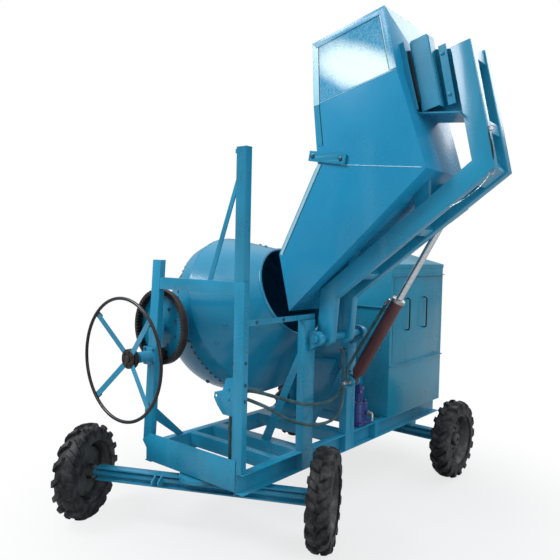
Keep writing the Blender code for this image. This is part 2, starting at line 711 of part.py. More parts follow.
# ---------------------------------------------------------------- hand wheel and tilt gear
def hand_wheel():
    """Dished steering-type wheel, its hub and spokes, and the shaft with the tilt pinion."""
    rim = Piece("handwheel_rim")
    rim.turned([(WHEEL_TUBE * math.sin(a), WHEEL_RADIUS - WHEEL_TUBE * math.cos(a))
                for a in [k * math.pi / 3 for k in range(6)]],
               (HAND_X, WHEEL_Y, HAND_Z), (0, 1, 0), facets=32)
    for k in range(4):
        angle = math.radians(45 + 90 * k)
        out = Vector((math.cos(angle), 0, math.sin(angle)))
        side = Vector((-math.sin(angle), 0, math.cos(angle)))
        centre = Vector((HAND_X, 0, HAND_Z))
        start = centre + out * 0.02 + Vector((0, HUB_Y - 0.024, 0))
        end = centre + out * (WHEEL_RADIUS - WHEEL_TUBE / 2) + Vector((0, WHEEL_Y + 0.003, 0))
        rim.bar(start, end, side, 0.046, 0.006)
    rim.tube((HAND_X, HUB_Y - 0.0205, HAND_Z), (HAND_X, HUB_Y - 0.030, HAND_Z), 0.055, bore(HAND_SHAFT_RADIUS))
    made = rim.done(BLUE, HAND)
    drill(made, "hand_wheel_bore", (HAND_X, 0.0, HAND_Z), (0, 1, 0), HAND_SHAFT_RADIUS, -0.25, -0.15)

    hub = Piece("handwheel_hub")
    hub.tube((HAND_X, HUB_Y - 0.02, HAND_Z), (HAND_X, HUB_Y + 0.014, HAND_Z), HUB_RADIUS,
             bore(HAND_SHAFT_RADIUS))
    hub.done(GREASY, HAND)

    pinion = Piece("tilt_pinion")
    radius = TILT_MODULE * TILT_PINION_TEETH / 2
    towards = math.atan2(HAND_Z - TRUNNION.z, HAND_X - TRUNNION.x)
    outline = gear_outline(TILT_PINION_TEETH, radius - 0.010, radius + 0.0040, 0.48, 0.20, towards)
    face = [TILT_RING_Y + 0.006, TILT_RING_Y + TILT_RING_FACE - 0.008]
    pinion.plate([[(HAND_X + x, HAND_Z + z) for x, z in outline]], in_xz(*face))
    pinion.rod((HAND_X, HUB_Y - 0.045, HAND_Z), (HAND_X, face[0] + 0.01, HAND_Z), HAND_SHAFT_RADIUS)
    pinion.done(GREASY, HAND)


def tilt_gear():
    """Internal ring gear and its web, on the front trunnion."""
    pitch = TILT_MODULE * TILT_RING_TEETH / 2
    towards = math.atan2(HAND_Z - TRUNNION.z, HAND_X - TRUNNION.x)
    step = math.pi / TILT_RING_TEETH
    teeth = []
    for k in range(TILT_RING_TEETH):
        for radius, angle in ((pitch - 0.0045, 2 * k * step), (pitch + 0.009, (2 * k + 1) * step)):
            teeth.append((radius * math.cos(towards + step + angle), radius * math.sin(towards + step + angle)))
    ring = Piece("tilt_ring_gear")
    ring.plate([circle(TILT_RING_OUTER, (TRUNNION.x, TRUNNION.z), 66),
                [(TRUNNION.x + x, TRUNNION.z + z) for x, z in teeth]],
               in_xz(TILT_RING_Y, TILT_RING_Y + TILT_RING_FACE))
    ring.done(GREASY, TILT)

    web = Piece("tilt_gear_web")
    back = TILT_RING_Y + TILT_RING_FACE + GAP
    web.plate([circle(TILT_RING_OUTER - 0.006, (TRUNNION.x, TRUNNION.z), 48)], in_xz(back, back + 0.007))
    web.rod((TRUNNION.x, back + 0.003, TRUNNION.z), (TRUNNION.x, back + 0.03, TRUNNION.z), 0.07)
    made = web.done(BLUE, TILT)
    drill(made, "tilt_web_bore", TRUNNION, (0, 1, 0), TRUNNION_RADIUS, -0.84, -0.75)


def yoke():
    """U-shaped cradle that carries the drum between the trunnions and behind its closed end."""
    node = Piece("yoke")
    side = (-0.02, YOKE_REACH)

    def bow(inset):
        wide, deep = YOKE_REACH - inset, YOKE_DEPTH + side[0] - inset
        return [(-wide * math.cos(math.pi * k / 20), -side[0] + deep * math.sin(math.pi * k / 20))
                for k in range(21)]

    outer, inner = bow(0.0), bow(YOKE_PLATE)
    outline = ([(-YOKE_REACH, -0.075)] + outer + [(YOKE_REACH, -0.075), (YOKE_REACH - YOKE_PLATE, -0.075)]
               + inner[::-1] + [(-YOKE_REACH + YOKE_PLATE, -0.075)])
    place = axes(TRUNNION, Vector((0, 1, 0)), -DRUM_AXIS, Vector((0, 1, 0)).cross(-DRUM_AXIS))
    node.plate([outline], (place, 2 * YOKE_HALF_BREADTH))
    near = TRUNNION.y - YOKE_REACH + YOKE_PLATE / 2
    node.rod((TRUNNION.x, PORTAL_DEPTH + 0.004, TRUNNION.z), (TRUNNION.x, near, TRUNNION.z), TRUNNION_RADIUS)
    far = TRUNNION.y + YOKE_REACH - YOKE_PLATE / 2
    node.rod((TRUNNION.x, far, TRUNNION.z), (TRUNNION.x, REAR_FRAME_Y + 0.075, TRUNNION.z), 0.04)
    node.rod(along_drum(-YOKE_DEPTH + YOKE_PLATE / 2), along_drum(-YOKE_DEPTH - 0.06), 0.062)
    made = node.done(BLUE, TILT)
    drill(made, "drive_shaft_hole", TRUNNION, (0, 1, 0), DRIVE_SHAFT_RADIUS, 0.70, 0.90)
    drill(made, "drum_axle_hole", TRUNNION, DRUM_AXIS, DRUM_AXLE_RADIUS, -0.80, -0.60)


# ---------------------------------------------------------------- drum
def bowl_wall(inset):
    """Points of the bowl's wall from its floor to its flange, set in from the outside."""
    points = []
    for k in range(7):
        angle = math.pi / 2 * (1 - k / 6)
        radius = BOWL_FLOOR + (BELLY_RADIUS - 0.045 - BOWL_FLOOR) * math.cos(angle) - inset
        points.append((FLANGE_AT - GAP - (BOWL_DEPTH - inset) * math.sin(angle), radius))
    return points


def drum():
    """Bowl with its axle, cone with the rolled mouth, crown gear, blades and bolts."""
    bowl = Piece("drum_bowl")
    face = FLANGE_AT - GAP
    outer = bowl_wall(0.0)
    inner = bowl_wall(DRUM_SHEET)
    floor = outer[0][0]
    profile = ([(-YOKE_DEPTH - 0.075, 0.0), (-YOKE_DEPTH - 0.075, DRUM_AXLE_RADIUS),
                (floor - 0.035, DRUM_AXLE_RADIUS), (floor - 0.035, 0.08), (floor, 0.10)]
               + outer[:-1] + [(face - 0.008, BELLY_RADIUS - 0.045), (face - 0.008, BELLY_RADIUS),
                               (face, BELLY_RADIUS)] + inner[::-1] + [(inner[0][0], 0.0)])
    bowl.turned(profile, TRUNNION, DRUM_AXIS, DRUM_ROUND, closed=False)
    bowl.done(BLUE, SPIN)

    cone = Piece("drum_cone")
    lip = 0.012
    cone.turned([(FLANGE_AT, BELLY_RADIUS - 0.045), (FLANGE_AT, BELLY_RADIUS), (BELLY_END, BELLY_RADIUS),
                 (MOUTH_REACH - lip, MOUTH_RADIUS + 0.004), (MOUTH_REACH - lip / 2, MOUTH_RADIUS + 0.014),
                 (MOUTH_REACH + lip / 2, MOUTH_RADIUS + 0.014), (MOUTH_REACH + lip, MOUTH_RADIUS + 0.002),
                 (MOUTH_REACH + lip / 2, MOUTH_RADIUS - 0.010), (MOUTH_REACH - lip, MOUTH_RADIUS - 0.005),
                 (BELLY_END - 0.002, BELLY_RADIUS - 0.006), (FLANGE_AT + 0.008, BELLY_RADIUS - 0.006),
                 (FLANGE_AT + 0.008, BELLY_RADIUS - 0.045)], TRUNNION, DRUM_AXIS, DRUM_ROUND)
    slope = (BELLY_RADIUS - MOUTH_RADIUS - 0.001) / (MOUTH_REACH - lip - BELLY_END + 0.002)
    wall = BELLY_RADIUS - 0.003
    far = BELLY_END + 0.26
    outline = [(FLANGE_AT + 0.02, wall - 0.13), (far - 0.04, wall - slope * 0.26 - 0.085),
               (far, wall - slope * (far - BELLY_END) - 0.001), (BELLY_END, wall), (FLANGE_AT + 0.02, wall)]
    turn = drum_turn()
    for k in range(3):
        angle = math.radians(120 * k) + turn
        out = Vector((0, 1, 0)) * math.cos(angle) + DRUM_NORMAL * math.sin(angle)
        place = axes(TRUNNION, DRUM_AXIS, out, DRUM_AXIS.cross(out))
        cone.plate([outline], (place, 0.008))
    cone.done(BLUE, SPIN)
    crown_gear(face - 0.008 - GAP)


def drum_turn():
    """Angle from +Y to the first facet edge of a part turned about the drum's axis."""
    spin = DRUM_AXIS.to_track_quat("Z", "Y").to_matrix()
    first = spin @ Vector((1, 0, 0))
    return math.atan2(first.dot(DRUM_NORMAL), first.y)


def crown_gear(front):
    """Ring with teeth on its back face; one tooth points at the drive pinion's side."""
    inner, outer = CROWN_RADIUS - 0.027, CROWN_RADIUS + 0.009
    tip, root = DRIVE_RADIUS - 0.010, DRIVE_RADIUS + 0.0145
    ring = Piece("drum_ring_gear")
    solid = bmesh.new()
    rows = []
    for k in range(CROWN_TEETH):
        for reach, share in ((tip, 0.0), (root, 0.5)):
            angle = (k + share) * 2 * math.pi / CROWN_TEETH
            out = Vector((0, 1, 0)) * math.cos(angle) + DRUM_NORMAL * math.sin(angle)
            corners = ((inner, reach), (outer, reach), (outer, front), (inner, front))
            rows.append([solid.verts.new(TRUNNION + out * radius + DRUM_AXIS * along)
                         for radius, along in corners])
    for here, after in zip(rows, rows[1:] + rows[:1]):
        for k in range(4):
            solid.faces.new((here[k], here[(k + 1) % 4], after[(k + 1) % 4], after[k]))
    bmesh.ops.recalc_face_normals(solid, faces=solid.faces)
    ring.keep(solid)
    ring.done(GREASY, SPIN)


def drive():
    """Pinion on the trunnion's axis that turns the crown gear, with its shaft."""
    node = Piece("drive_pinion")
    start = DRUM_TILT + math.pi / DRIVE_TEETH
    outline = gear_outline(DRIVE_TEETH, DRIVE_RADIUS - 0.014, DRIVE_RADIUS + 0.0065, 0.48, 0.20, start)
    low = TRUNNION.y + CROWN_RADIUS - 0.021
    high = TRUNNION.y + CROWN_RADIUS + 0.021
    node.plate([[(TRUNNION.x + x, TRUNNION.z + z) for x, z in outline]], in_xz(low, high))
    node.rod((TRUNNION.x, high - 0.01, TRUNNION.z), (TRUNNION.x, CABIN_Y + 0.06, TRUNNION.z),
             DRIVE_SHAFT_RADIUS)
    node.done(BARE, DRIVE)


# ---------------------------------------------------------------- hopper
RIM_LEFT = (0.56, 3.595)
RIM_RIGHT = (1.145, 3.725)
CREASE_RIGHT = (1.245, 3.295)
CREASE_LEFT = (0.583, 3.15)
HEEL = (1.46, 2.645)
CHUTE_LOW = (0.335, 1.635)
CHUTE_HIGH = (0.245, 2.07)
SHOULDER = (0.615, 2.73)
ARM_PATH = [(PIVOT.x + 0.025, 1.78), (1.7675, 2.664), (1.5925, 3.445)]


def bucket_half(point):
    """Half the bucket's width: even above the crease, tapering to the chute's tip."""
    crease = (Vector(CREASE_RIGHT) - Vector(CREASE_LEFT)).normalized()
    down = Vector((crease.y, -crease.x))
    depth = max(0.0, (Vector(point) - Vector(CREASE_LEFT)).dot(down))
    full = (Vector(CHUTE_LOW) - Vector(CREASE_LEFT)).dot(down)
    return BUCKET_HALF - (BUCKET_HALF - BUCKET_TIP_HALF) * depth / full


def bucket():
    """Sheet bucket and chute, open at the rim and at the chute's tip, with its angle rim."""
    loop = [RIM_LEFT, CREASE_LEFT, SHOULDER, CHUTE_HIGH, CHUTE_LOW, HEEL, CREASE_RIGHT, RIM_RIGHT]
    sheet = bmesh.new()
    sides = []
    for sign in (-1, 1):
        sides.append([sheet.verts.new((x, PIVOT.y + sign * bucket_half((x, z)), z)) for x, z in loop])
    near, far = sides
    last = len(loop) - 1
    for k in range(last):
        if loop[k] != CHUTE_HIGH:
            sheet.faces.new((near[k], near[k + 1], far[k + 1], far[k]))
    for side in sides:
        sheet.faces.new((side[0], side[1], side[last - 1], side[last]))
        sheet.faces.new(side[1:last])
    bmesh.ops.recalc_face_normals(sheet, faces=sheet.faces)
    mesh = bpy.data.meshes.new("hopper_bucket")
    sheet.to_mesh(mesh)
    sheet.free()
    maker = bpy.data.objects.new("hopper_bucket", mesh)
    wall = maker.modifiers.new("sheet", "SOLIDIFY")
    wall.thickness = BUCKET_SHEET
    wall.offset = -1.0
    wall.use_even_offset = True
    node = Piece("hopper_bucket")
    node.take(maker)
    for low, high in ((PIVOT.y - BUCKET_HALF - 0.006, PIVOT.y - BUCKET_HALF + 0.002),
                      (PIVOT.y + BUCKET_HALF - 0.002, PIVOT.y + BUCKET_HALF + 0.006)):
        outline = [(RIM_LEFT[0], RIM_LEFT[1]), (RIM_LEFT[0] + 0.038, RIM_LEFT[1] - 0.036),
                   (RIM_RIGHT[0] - 0.03, RIM_RIGHT[1] - 0.051), (CREASE_RIGHT[0] - 0.042, CREASE_RIGHT[1]),
                   CREASE_RIGHT, RIM_RIGHT]
        node.plate([outline], in_xz(low, high))
    node.done(BLUE, LIFT)

    latch = Piece("latch_plate")
    face = PIVOT.y - bucket_half((0.69, 2.78))
    latch.plate([ribbon([(0.545, 2.797), (0.862, 2.742)], 0.075), circle(0.009, (0.578, 2.7913), 8),
                 circle(0.009, (0.822, 2.7489), 8)], in_xz(face - 0.014, face - 0.0040))
    latch.done(BLUE, LIFT)


def arms():
    """The welded lifting frame: two box arms with their ties and pads, and the rod's lug."""
    node = Piece("lifting_frame")
    foot = (PIVOT.x, PIVOT.z)
    strip = ribbon([foot] + ARM_PATH, ARM_DEPTH)
    first = Vector(ARM_PATH[0]) - Vector(foot)
    lean = math.degrees(math.atan2(first.y, first.x))
    outline = strip + arc(foot, ARM_DEPTH / 2, lean - 90, lean - 270, 10)[1:-1]
    for start in (ARM_NEAR_Y, ARM_FAR_Y):
        node.plate([outline, circle(bore(PIVOT_RADIUS), foot)], in_xz(start, start + ARM_THICK))
    between = in_xz(ARM_NEAR_Y + ARM_THICK - 0.003, ARM_FAR_Y + 0.003)
    lower = Vector(ARM_PATH[0])
    elbow = Vector(ARM_PATH[1])
    top = Vector(ARM_PATH[2])
    run = (elbow - lower).normalized()
    rise = (top - elbow).normalized()
    for middle, along, length in ((top - rise * 0.06, rise, 0.09), (elbow + rise * 0.24, rise, 0.08),
                                  (elbow - run * 0.05, run, 0.16), (elbow - run * 0.62, run, 0.07),
                                  (lower + run * 0.30, run, 0.07)):
        node.plate([ribbon([tuple(middle - along * length / 2), tuple(middle + along * length / 2)], 0.11)],
                   between)
    brackets(node)
    node.done(BLUE, LIFT)

    lug = Piece("rod_lug")
    x, y, z = ROD_EYE
    out = run * 0.16
    side = Vector((-run.y, run.x))
    eye = Vector((x, z))
    plate = ([tuple(eye + out + side * 0.045)]
             + arc((x, z), 0.042, math.degrees(math.atan2(run.y, run.x)) + 90,
                   math.degrees(math.atan2(run.y, run.x)) + 270, 8)
             + [tuple(eye + out - side * 0.045)])
    lug.plate([plate], in_xz(y + ROD_RADIUS + 0.0015, y + 0.0435))
    arm_side = ARM_FAR_Y + ARM_THICK + GAP
    lug.plate([ribbon([tuple(eye + run * 0.105), tuple(eye + run * 0.155)], 0.08)],
              in_xz(arm_side, y + 0.031))
    lug.rod((x, y + 0.040, z), (x, y + 0.058, z), 0.024, 6)
    lug.done(BLUE, LIFT)


def brackets(node):
    """Plates between the bucket's back and the arms, and the wedges under its floor."""
    top = Vector(ARM_PATH[2])
    elbow = Vector(ARM_PATH[1])
    rise = (top - elbow).normalized()
    inner = Vector((-rise.y, rise.x)) * (ARM_DEPTH / 2 - 0.003)

    def on_arm(height):
        share = (height - elbow.y) / (top.y - elbow.y)
        return (elbow.x + (top.x - elbow.x) * share + inner.x, height)

    def on_back(height):
        low, high = (HEEL, CREASE_RIGHT) if height < CREASE_RIGHT[1] else (CREASE_RIGHT, RIM_RIGHT)
        share = (height - low[1]) / (high[1] - low[1])
        return (low[0] + (high[0] - low[0]) * share + 2 * GAP, height)

    for start in (ARM_NEAR_Y + 0.03, ARM_FAR_Y + 0.03):
        node.plate([[on_back(3.03), on_arm(3.0), on_arm(3.43), on_back(3.48), on_back(CREASE_RIGHT[1])]],
                   in_xz(start, start + 0.008))
    run = (elbow - Vector(ARM_PATH[0])).normalized()
    above = Vector(ARM_PATH[0]) + Vector((-run.y, run.x)) * (ARM_DEPTH / 2 - 0.003)
    floor_run = (Vector(HEEL) - Vector(CHUTE_LOW)).normalized()
    floor_down = Vector((floor_run.y, -floor_run.x)) * 2 * GAP

    def arm_top(x):
        return (x, above.y + (x - above.x) * run.y / run.x)

    def floor(x):
        base = Vector(CHUTE_LOW) + floor_down
        return (x, base.y + (x - base.x) * floor_run.y / floor_run.x)

    for low, high in ((0.78, 0.86), (1.30, 1.40)):
        for start in (ARM_NEAR_Y + 0.02, ARM_FAR_Y + 0.02):
            node.plate([[arm_top(low), arm_top(high), floor(high), floor(low)]],
                       in_xz(start, start + 0.035))


# ---------------------------------------------------------------- cylinder
def cylinder():
    """Hydraulic cylinder: barrel on the post's bracket, rod with its eye beside the far arm."""
    x, y, z = CYLINDER_BASE
    barrel = Piece("cylinder_barrel")
    barrel.rod((x, y - 0.028, z), (x, y + 0.028, z), 0.032)
    wall = [(0.02, 0.0), (0.02, 0.026), (0.048, 0.026), (0.088, BARREL_RADIUS), (GLAND_AT, BARREL_RADIUS),
            (GLAND_AT, PISTON_BORE), (0.092, PISTON_BORE), (0.092, 0.0)]
    barrel.turned(wall, CYLINDER_BASE, CYLINDER_AXIS, closed=False)
    made = barrel.done(PRIMER, SWING)
    drill(made, "tail_bore", CYLINDER_BASE, (0, 1, 0), CYLINDER_PIN, -0.04, 0.04)

    gland = Piece("cylinder_gland")
    hole = bore(ROD_RADIUS)
    gland.turned([(GLAND_AT - 0.04, PISTON_BORE - GAP), (GLAND_AT + GAP, PISTON_BORE - GAP),
                  (GLAND_AT + GAP, BARREL_RADIUS + 0.004), (BARREL_LENGTH, BARREL_RADIUS + 0.004),
                  (BARREL_LENGTH, hole), (GLAND_AT - 0.04, hole)], CYLINDER_BASE, CYLINDER_AXIS)
    gland.done(BARE, SWING)

    rod = Piece("cylinder_rod")
    inner = CYLINDER_BASE + CYLINDER_AXIS * PISTON_AT
    rod.rod(inner, ROD_EYE - CYLINDER_AXIS * 0.025, ROD_RADIUS)
    rod.rod(inner, inner + CYLINDER_AXIS * 0.04, PISTON_BORE - 0.001)
    rod.rod((ROD_EYE.x, y - 0.02, ROD_EYE.z), (ROD_EYE.x, y + ROD_RADIUS + 0.001, ROD_EYE.z), 0.040)
    rod.rod((ROD_EYE.x, y - 0.032, ROD_EYE.z), (ROD_EYE.x, y - 0.015, ROD_EYE.z), 0.024, 6)
    rod.done(CHROME, SLIDE)


# ---------------------------------------------------------------- cabin and what it holds
def cabin():
    """Sheet cabin with an opening in its right side, hipped roof, panel and handles."""
    shell = Piece("cabin_shell")
    half = CHASSIS_HALF
    end = CHASSIS_LENGTH
    shell.plate([rectangle(-half, CABIN_Y, half, end),
                 rectangle(-half + CABIN_SHEET, CABIN_Y + CABIN_SHEET, half - CABIN_SHEET, end - CABIN_SHEET)],
                in_xy(RAIL_TOP + GAP, CABIN_TOP))
    out = half - 0.002
    for low in (PANEL_HIGH + 0.014, PANEL_LOW - 0.03):
        shell.box((out, CABIN_Y + 0.005, low), (out + 0.024, end - 0.005, low + 0.008))
    shell.box((0.08, CABIN_Y - 0.03, 1.60), (half - 0.005, CABIN_Y + 0.002, 1.608))
    made = shell.done(BLUE)
    cut(made, "panel_opening",
        lambda tool: tool.box((half - 0.05, CABIN_Y + PANEL_INSET + 0.03, PANEL_LOW + 0.03),
                              (half + 0.0002, end - PANEL_INSET - 0.03, PANEL_HIGH - 0.03)))
    cut(made, "drive_opening",
        lambda tool: tool.rod((TRUNNION.x + 0.003, CABIN_Y - 0.02, TRUNNION.z),
                              (TRUNNION.x + 0.003, CABIN_Y + 0.02, TRUNNION.z), 0.026))

    roof = Piece("cabin_roof")
    eave = CABIN_TOP + 0.005
    out = CABIN_SHEET + 2 * GAP
    base = [(-half - out, CABIN_Y - out), (half + out, CABIN_Y - out), (half + out, end + out),
            (-half - out, end + out)]
    crown = [(-0.15, CABIN_Y + 0.45), (0.15, CABIN_Y + 0.45), (0.15, end - 0.35), (-0.15, end - 0.35)]
    sheet = bmesh.new()
    rings = [[sheet.verts.new((x, y, height)) for x, y in outline]
             for outline, height in ((base, CABIN_TOP - 0.03), (base, eave), (crown, eave + 0.14))]
    for low, high in zip(rings, rings[1:]):
        for k in range(4):
            sheet.faces.new((low[k], low[(k + 1) % 4], high[(k + 1) % 4], high[k]))
    sheet.faces.new(rings[-1])
    mesh = bpy.data.meshes.new("cabin_roof")
    sheet.to_mesh(mesh)
    sheet.free()
    maker = bpy.data.objects.new("cabin_roof", mesh)
    wall = maker.modifiers.new("sheet", "SOLIDIFY")
    wall.thickness = CABIN_SHEET
    wall.offset = -1.0
    wall.use_even_offset = True
    roof.take(maker)
    roof.done(BLUE)

    panel = Piece("side_panel")
    face = half + 2 * GAP
    panel.box((face, CABIN_Y + PANEL_INSET, PANEL_LOW), (face + 0.003, end - PANEL_INSET, PANEL_HIGH))
    panel.done(BLUE, PANEL)
    grip = face + 0.003 + GAP
    for name, y in (("front_panel_handle", CABIN_Y + 0.29), ("rear_panel_handle", CABIN_Y + 0.65)):
        handle = Piece(name)
        handle.hose([(grip, y, 1.38), (grip + 0.034, y, 1.38), (grip + 0.043, y, 1.40),
                     (grip + 0.043, y, 1.66), (grip + 0.034, y, 1.68), (grip, y, 1.68)], 0.007, 0.14)
        handle.done(BLACK, PANEL)


def engine():
    """Engine, flywheel, transmission to the drive shaft, oil tank and hydraulic pump."""
    x, y, z = CRANK["design_place"]
    block = Piece("engine_block")
    block.box((-0.12, y - 0.20, RAIL_TOP + GAP), (0.24, y + 0.20, 0.66))
    block.box((-0.09, y - 0.16, 0.655), (0.21, y + 0.16, 1.22))
    block.box((-0.05, y - 0.12, 1.215), (0.17, y + 0.12, 1.36))
    block.rod((0.20, y, z), (x - GAP, y, z), 0.03)
    block.done(CABIN_GREY)

    wheel = Piece("flywheel")
    wheel.turned([(0.0, 0.0), (0.0, 0.06), (0.012, 0.17), (0.0, 0.17), (0.0, 0.21), (0.05, 0.21), (0.05, 0.17),
                  (0.030, 0.17), (0.05, 0.06), (0.05, 0.0)], (x, y, z), (1, 0, 0), closed=False)
    wheel.done(BLACK, CRANK)

    case = Piece("transmission_case")
    near = CABIN_Y + 0.03
    left = -CHASSIS_HALF + CABIN_SHEET + 0.004
    case.plate([[(left, RAIL_TOP + GAP), (-0.10, RAIL_TOP + GAP), (-0.10, 1.05), (-0.36, 1.58),
                 (left, 1.58)], circle(bore(DRIVE_SHAFT_RADIUS), (TRUNNION.x, TRUNNION.z))],
               in_xz(near, near + 0.16))
    case.done(CABIN_GREY)

    tank = Piece("oil_tank")
    tank.box((-0.25, REAR_FRAME_Y + 0.065, RAIL_TOP + GAP), (0.25, CABIN_Y - GAP, 1.05))
    tank.rod((0.12, 1.87, 1.045), (0.12, 1.87, 1.075), 0.03, 12)
    tank.done(BLUE)

    pump = Piece("hydraulic_pump")
    pump.box((0.33, 1.49, RAIL_TOP + GAP), (0.50, 1.71, 0.61))
    pump.rod((0.415, 1.60, 0.605), (0.415, 1.60, 0.79), 0.085, 20)
    pump.rod((0.415, 1.60, 0.785), (0.415, 1.60, 0.86), 0.045, 16)
    pump.box((0.375, 1.565, 0.855), (0.455, 1.635, 0.925))
    pump.rod((0.44, 1.60, 0.70), (0.525, 1.60, 0.70), 0.022, 12)
    pump.done(PUMP_BLUE)


# ---------------------------------------------------------------- valve and hoses
def valve():
    """Control valve on its bracket, with its lever."""
    bracket = Piece("valve_bracket")
    edge = PORTAL_RIGHT - PORTAL_WIDTH / 2 - GAP
    outline = [(edge, 0.95), (edge, 1.23), (0.315, 1.205), (0.285, 1.12), (0.205, 1.095), (0.20, 1.055),
               (0.235, 1.005), (0.29, 0.95)]
    bracket.plate([outline, circle(0.010, (0.222, 1.072), 8)], in_xz(0.030, 0.036))
    bracket.done(BLUE)

    body = Piece("valve_body")
    body.box((0.33, 0.036 + GAP, 1.05), (0.40, 0.09, 1.15))
    body.rod((0.365, VALVE_Y, 1.145), (0.365, VALVE_Y, LEVER_PIVOT.z - 0.0078), 0.014, 12)
    body.rod((0.345, 0.062, 1.03), (0.345, 0.062, 1.055), 0.014, 6)
    for z in (1.13, 1.085):
        body.rod((0.395, 0.072, z), (0.418, 0.072, z), 0.013, 6)
    body.done(BARE)

    lever = Piece("valve_lever")
    x, y, z = LEVER_PIVOT
    lever.ball((x, y, z), 0.0075)
    lever.rod((x, y, z), (x, y, 1.28), 0.006, 8)
    lever.done(BARE, LEVER)
    knob = Piece("lever_knob")
    knob.turned([(0.0, 0.0), (0.0, 0.009), (0.02, 0.015), (0.045, 0.015), (0.055, 0.008), (0.055, 0.0)],
                (x, y, 1.28 + GAP), (0, 0, 1), 12, closed=False)
    knob.done(BLACK, LEVER)


VALVE_HOSE_ROUTE = [(0.4183, 0.072, 1.13), (0.445, 0.072, 1.13), (0.50, 0.09, 1.138), (0.545, 0.16, 1.118),
                    (0.575, 0.35, 1.05), (0.585, 0.58, 0.975), (0.585, 0.80, 0.94), (0.585, 0.97, 0.95),
                    (0.582, 1.07, 1.01), (0.578, 1.10, 1.10), (0.57, 1.10, 1.20), (0.55, 1.13, 1.275),
                    (0.51, 1.18, 1.30), (0.485, 1.22, 1.30), (0.485, 1.2497, 1.30)]
LIFT_HOSE_ROUTE = [(0.4183, 0.072, 1.085), (0.445, 0.072, 1.085), (0.52, 0.11, 1.06), (0.565, 0.20, 1.01),
                   (0.585, 0.40, 0.895), (0.60, 0.62, 0.815), (0.612, 0.84, 0.79), (0.62, 0.97, 0.825),
                   (0.62, 1.03, 0.90), (0.62, 1.04, 0.99), (0.62, 1.050, 1.04), (0.62, 1.070, 1.06),
                   (0.62, 1.085, 1.06), (0.62, 1.0997, 1.06)]
VALVE_PIPE_ROUTE = [(0.345, 0.062, 1.0297), (0.345, 0.062, 0.99), (0.325, 0.075, 0.93), (0.305, 0.09, 0.85),
                    (0.293, 0.103, 0.75), (0.29, 0.108, 0.66), (0.29, 0.11, 0.60),
                    (0.29, 0.11, 0.56), (0.29, 0.11, RAIL_BOTTOM + 0.0905)]
BARREL_HOSE_ROUTE = [(0.0, 0.0, 1.10), (0.0, 0.0, 1.11), (0.008, 0.012, 1.122), (0.03, 0.04, 1.128),
                     (0.07, 0.072, 1.138),
                     (0.14, 0.088, 1.165), (0.25, 0.095, CYLINDER_Y), (0.50, 0.085, CYLINDER_Y),
                     (0.66, 0.078, CYLINDER_Y), (0.72, 0.072, CYLINDER_Y), (0.745, 0.0656, CYLINDER_Y)]


def hoses():
    """Hoses from the valve: one to the post, one to the cylinder's swivel, one down to the tank."""
    for name, route in (("valve_hose", VALVE_HOSE_ROUTE), ("valve_pipe", VALVE_PIPE_ROUTE),
                        ("lift_hose", LIFT_HOSE_ROUTE)):
        low = Piece(name)
        low.hose(route, HOSE_RADIUS, 0.055)
        low.done(HOSE)

    side = Vector((-CYLINDER_AXIS.z, 0.0, CYLINDER_AXIS.x))
    route = []
    for along, off, y in BARREL_HOSE_ROUTE:
        point = CYLINDER_BASE + CYLINDER_AXIS * along + side * off
        route.append((point.x, y, point.z))
    upper = Piece("barrel_hose")
    upper.hose(route, HOSE_RADIUS, 0.055)
    upper.done(HOSE, SWING)


chassis()
portal()
rear_frame()
bearings()
hopper_posts()
axles()
wheels()
hand_wheel()
tilt_gear()
yoke()
drum()
drive()
bucket()
arms()
cylinder()
cabin()
engine()
valve()
hoses()
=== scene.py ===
"""Looks of the concrete mixer: its pieces, finishes, floor, light and camera.

Sizes are in metres in the design frame: X across the chassis towards the hopper, Y along it
towards the engine cabin and Z up. Every piece is moved by MIDDLE as it is written, which puts the
origin on the ground under the middle of the machine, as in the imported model.
"""
from __future__ import annotations

import logging
import math
from dataclasses import dataclass, field
from enum import Enum

import bmesh
import bpy
import numpy as np
from mathutils import Matrix

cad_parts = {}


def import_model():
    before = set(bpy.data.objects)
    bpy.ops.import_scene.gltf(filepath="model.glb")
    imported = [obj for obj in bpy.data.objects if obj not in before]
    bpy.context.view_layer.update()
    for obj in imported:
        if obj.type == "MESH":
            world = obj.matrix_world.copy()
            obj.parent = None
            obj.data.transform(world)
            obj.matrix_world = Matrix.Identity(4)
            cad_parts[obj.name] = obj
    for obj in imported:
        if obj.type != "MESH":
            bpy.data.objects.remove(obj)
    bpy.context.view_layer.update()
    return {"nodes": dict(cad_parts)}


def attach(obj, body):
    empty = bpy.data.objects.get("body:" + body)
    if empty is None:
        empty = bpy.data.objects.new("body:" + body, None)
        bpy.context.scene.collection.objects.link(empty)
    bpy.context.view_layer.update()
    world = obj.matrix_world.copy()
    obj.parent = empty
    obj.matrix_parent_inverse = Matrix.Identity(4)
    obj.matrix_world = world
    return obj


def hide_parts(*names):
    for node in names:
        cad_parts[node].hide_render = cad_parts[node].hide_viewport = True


Array = np.ndarray
Colour = tuple[float, float, float]
Point = tuple[float, float, float]
LOG = logging.getLogger("mixer")

MIDDLE = np.array((0.332, 1.2018, 0.0))     # design point that becomes the origin
SMOOTH_ANGLE = math.radians(32.0)           # edges that turn more than this stay sharp
SAME_POINT = 4e-6                           # points nearer than this become one
X_AXIS, Y_AXIS, Z_AXIS = np.eye(3)

TRUNNION = np.array((-0.49, 0.95, 1.483))       # where the drum's tilting axis crosses its own axis
HAND_WHEEL = np.array((-0.4712, 0.0, 1.2678))   # axis of the hand wheel, along Y
CYLINDER_BASE = np.array((0.62, 1.187, 1.06))   # pin under the lifting cylinder
CYLINDER_EYE = np.array((1.36, 1.187, 2.36))    # pin at the rod's eye


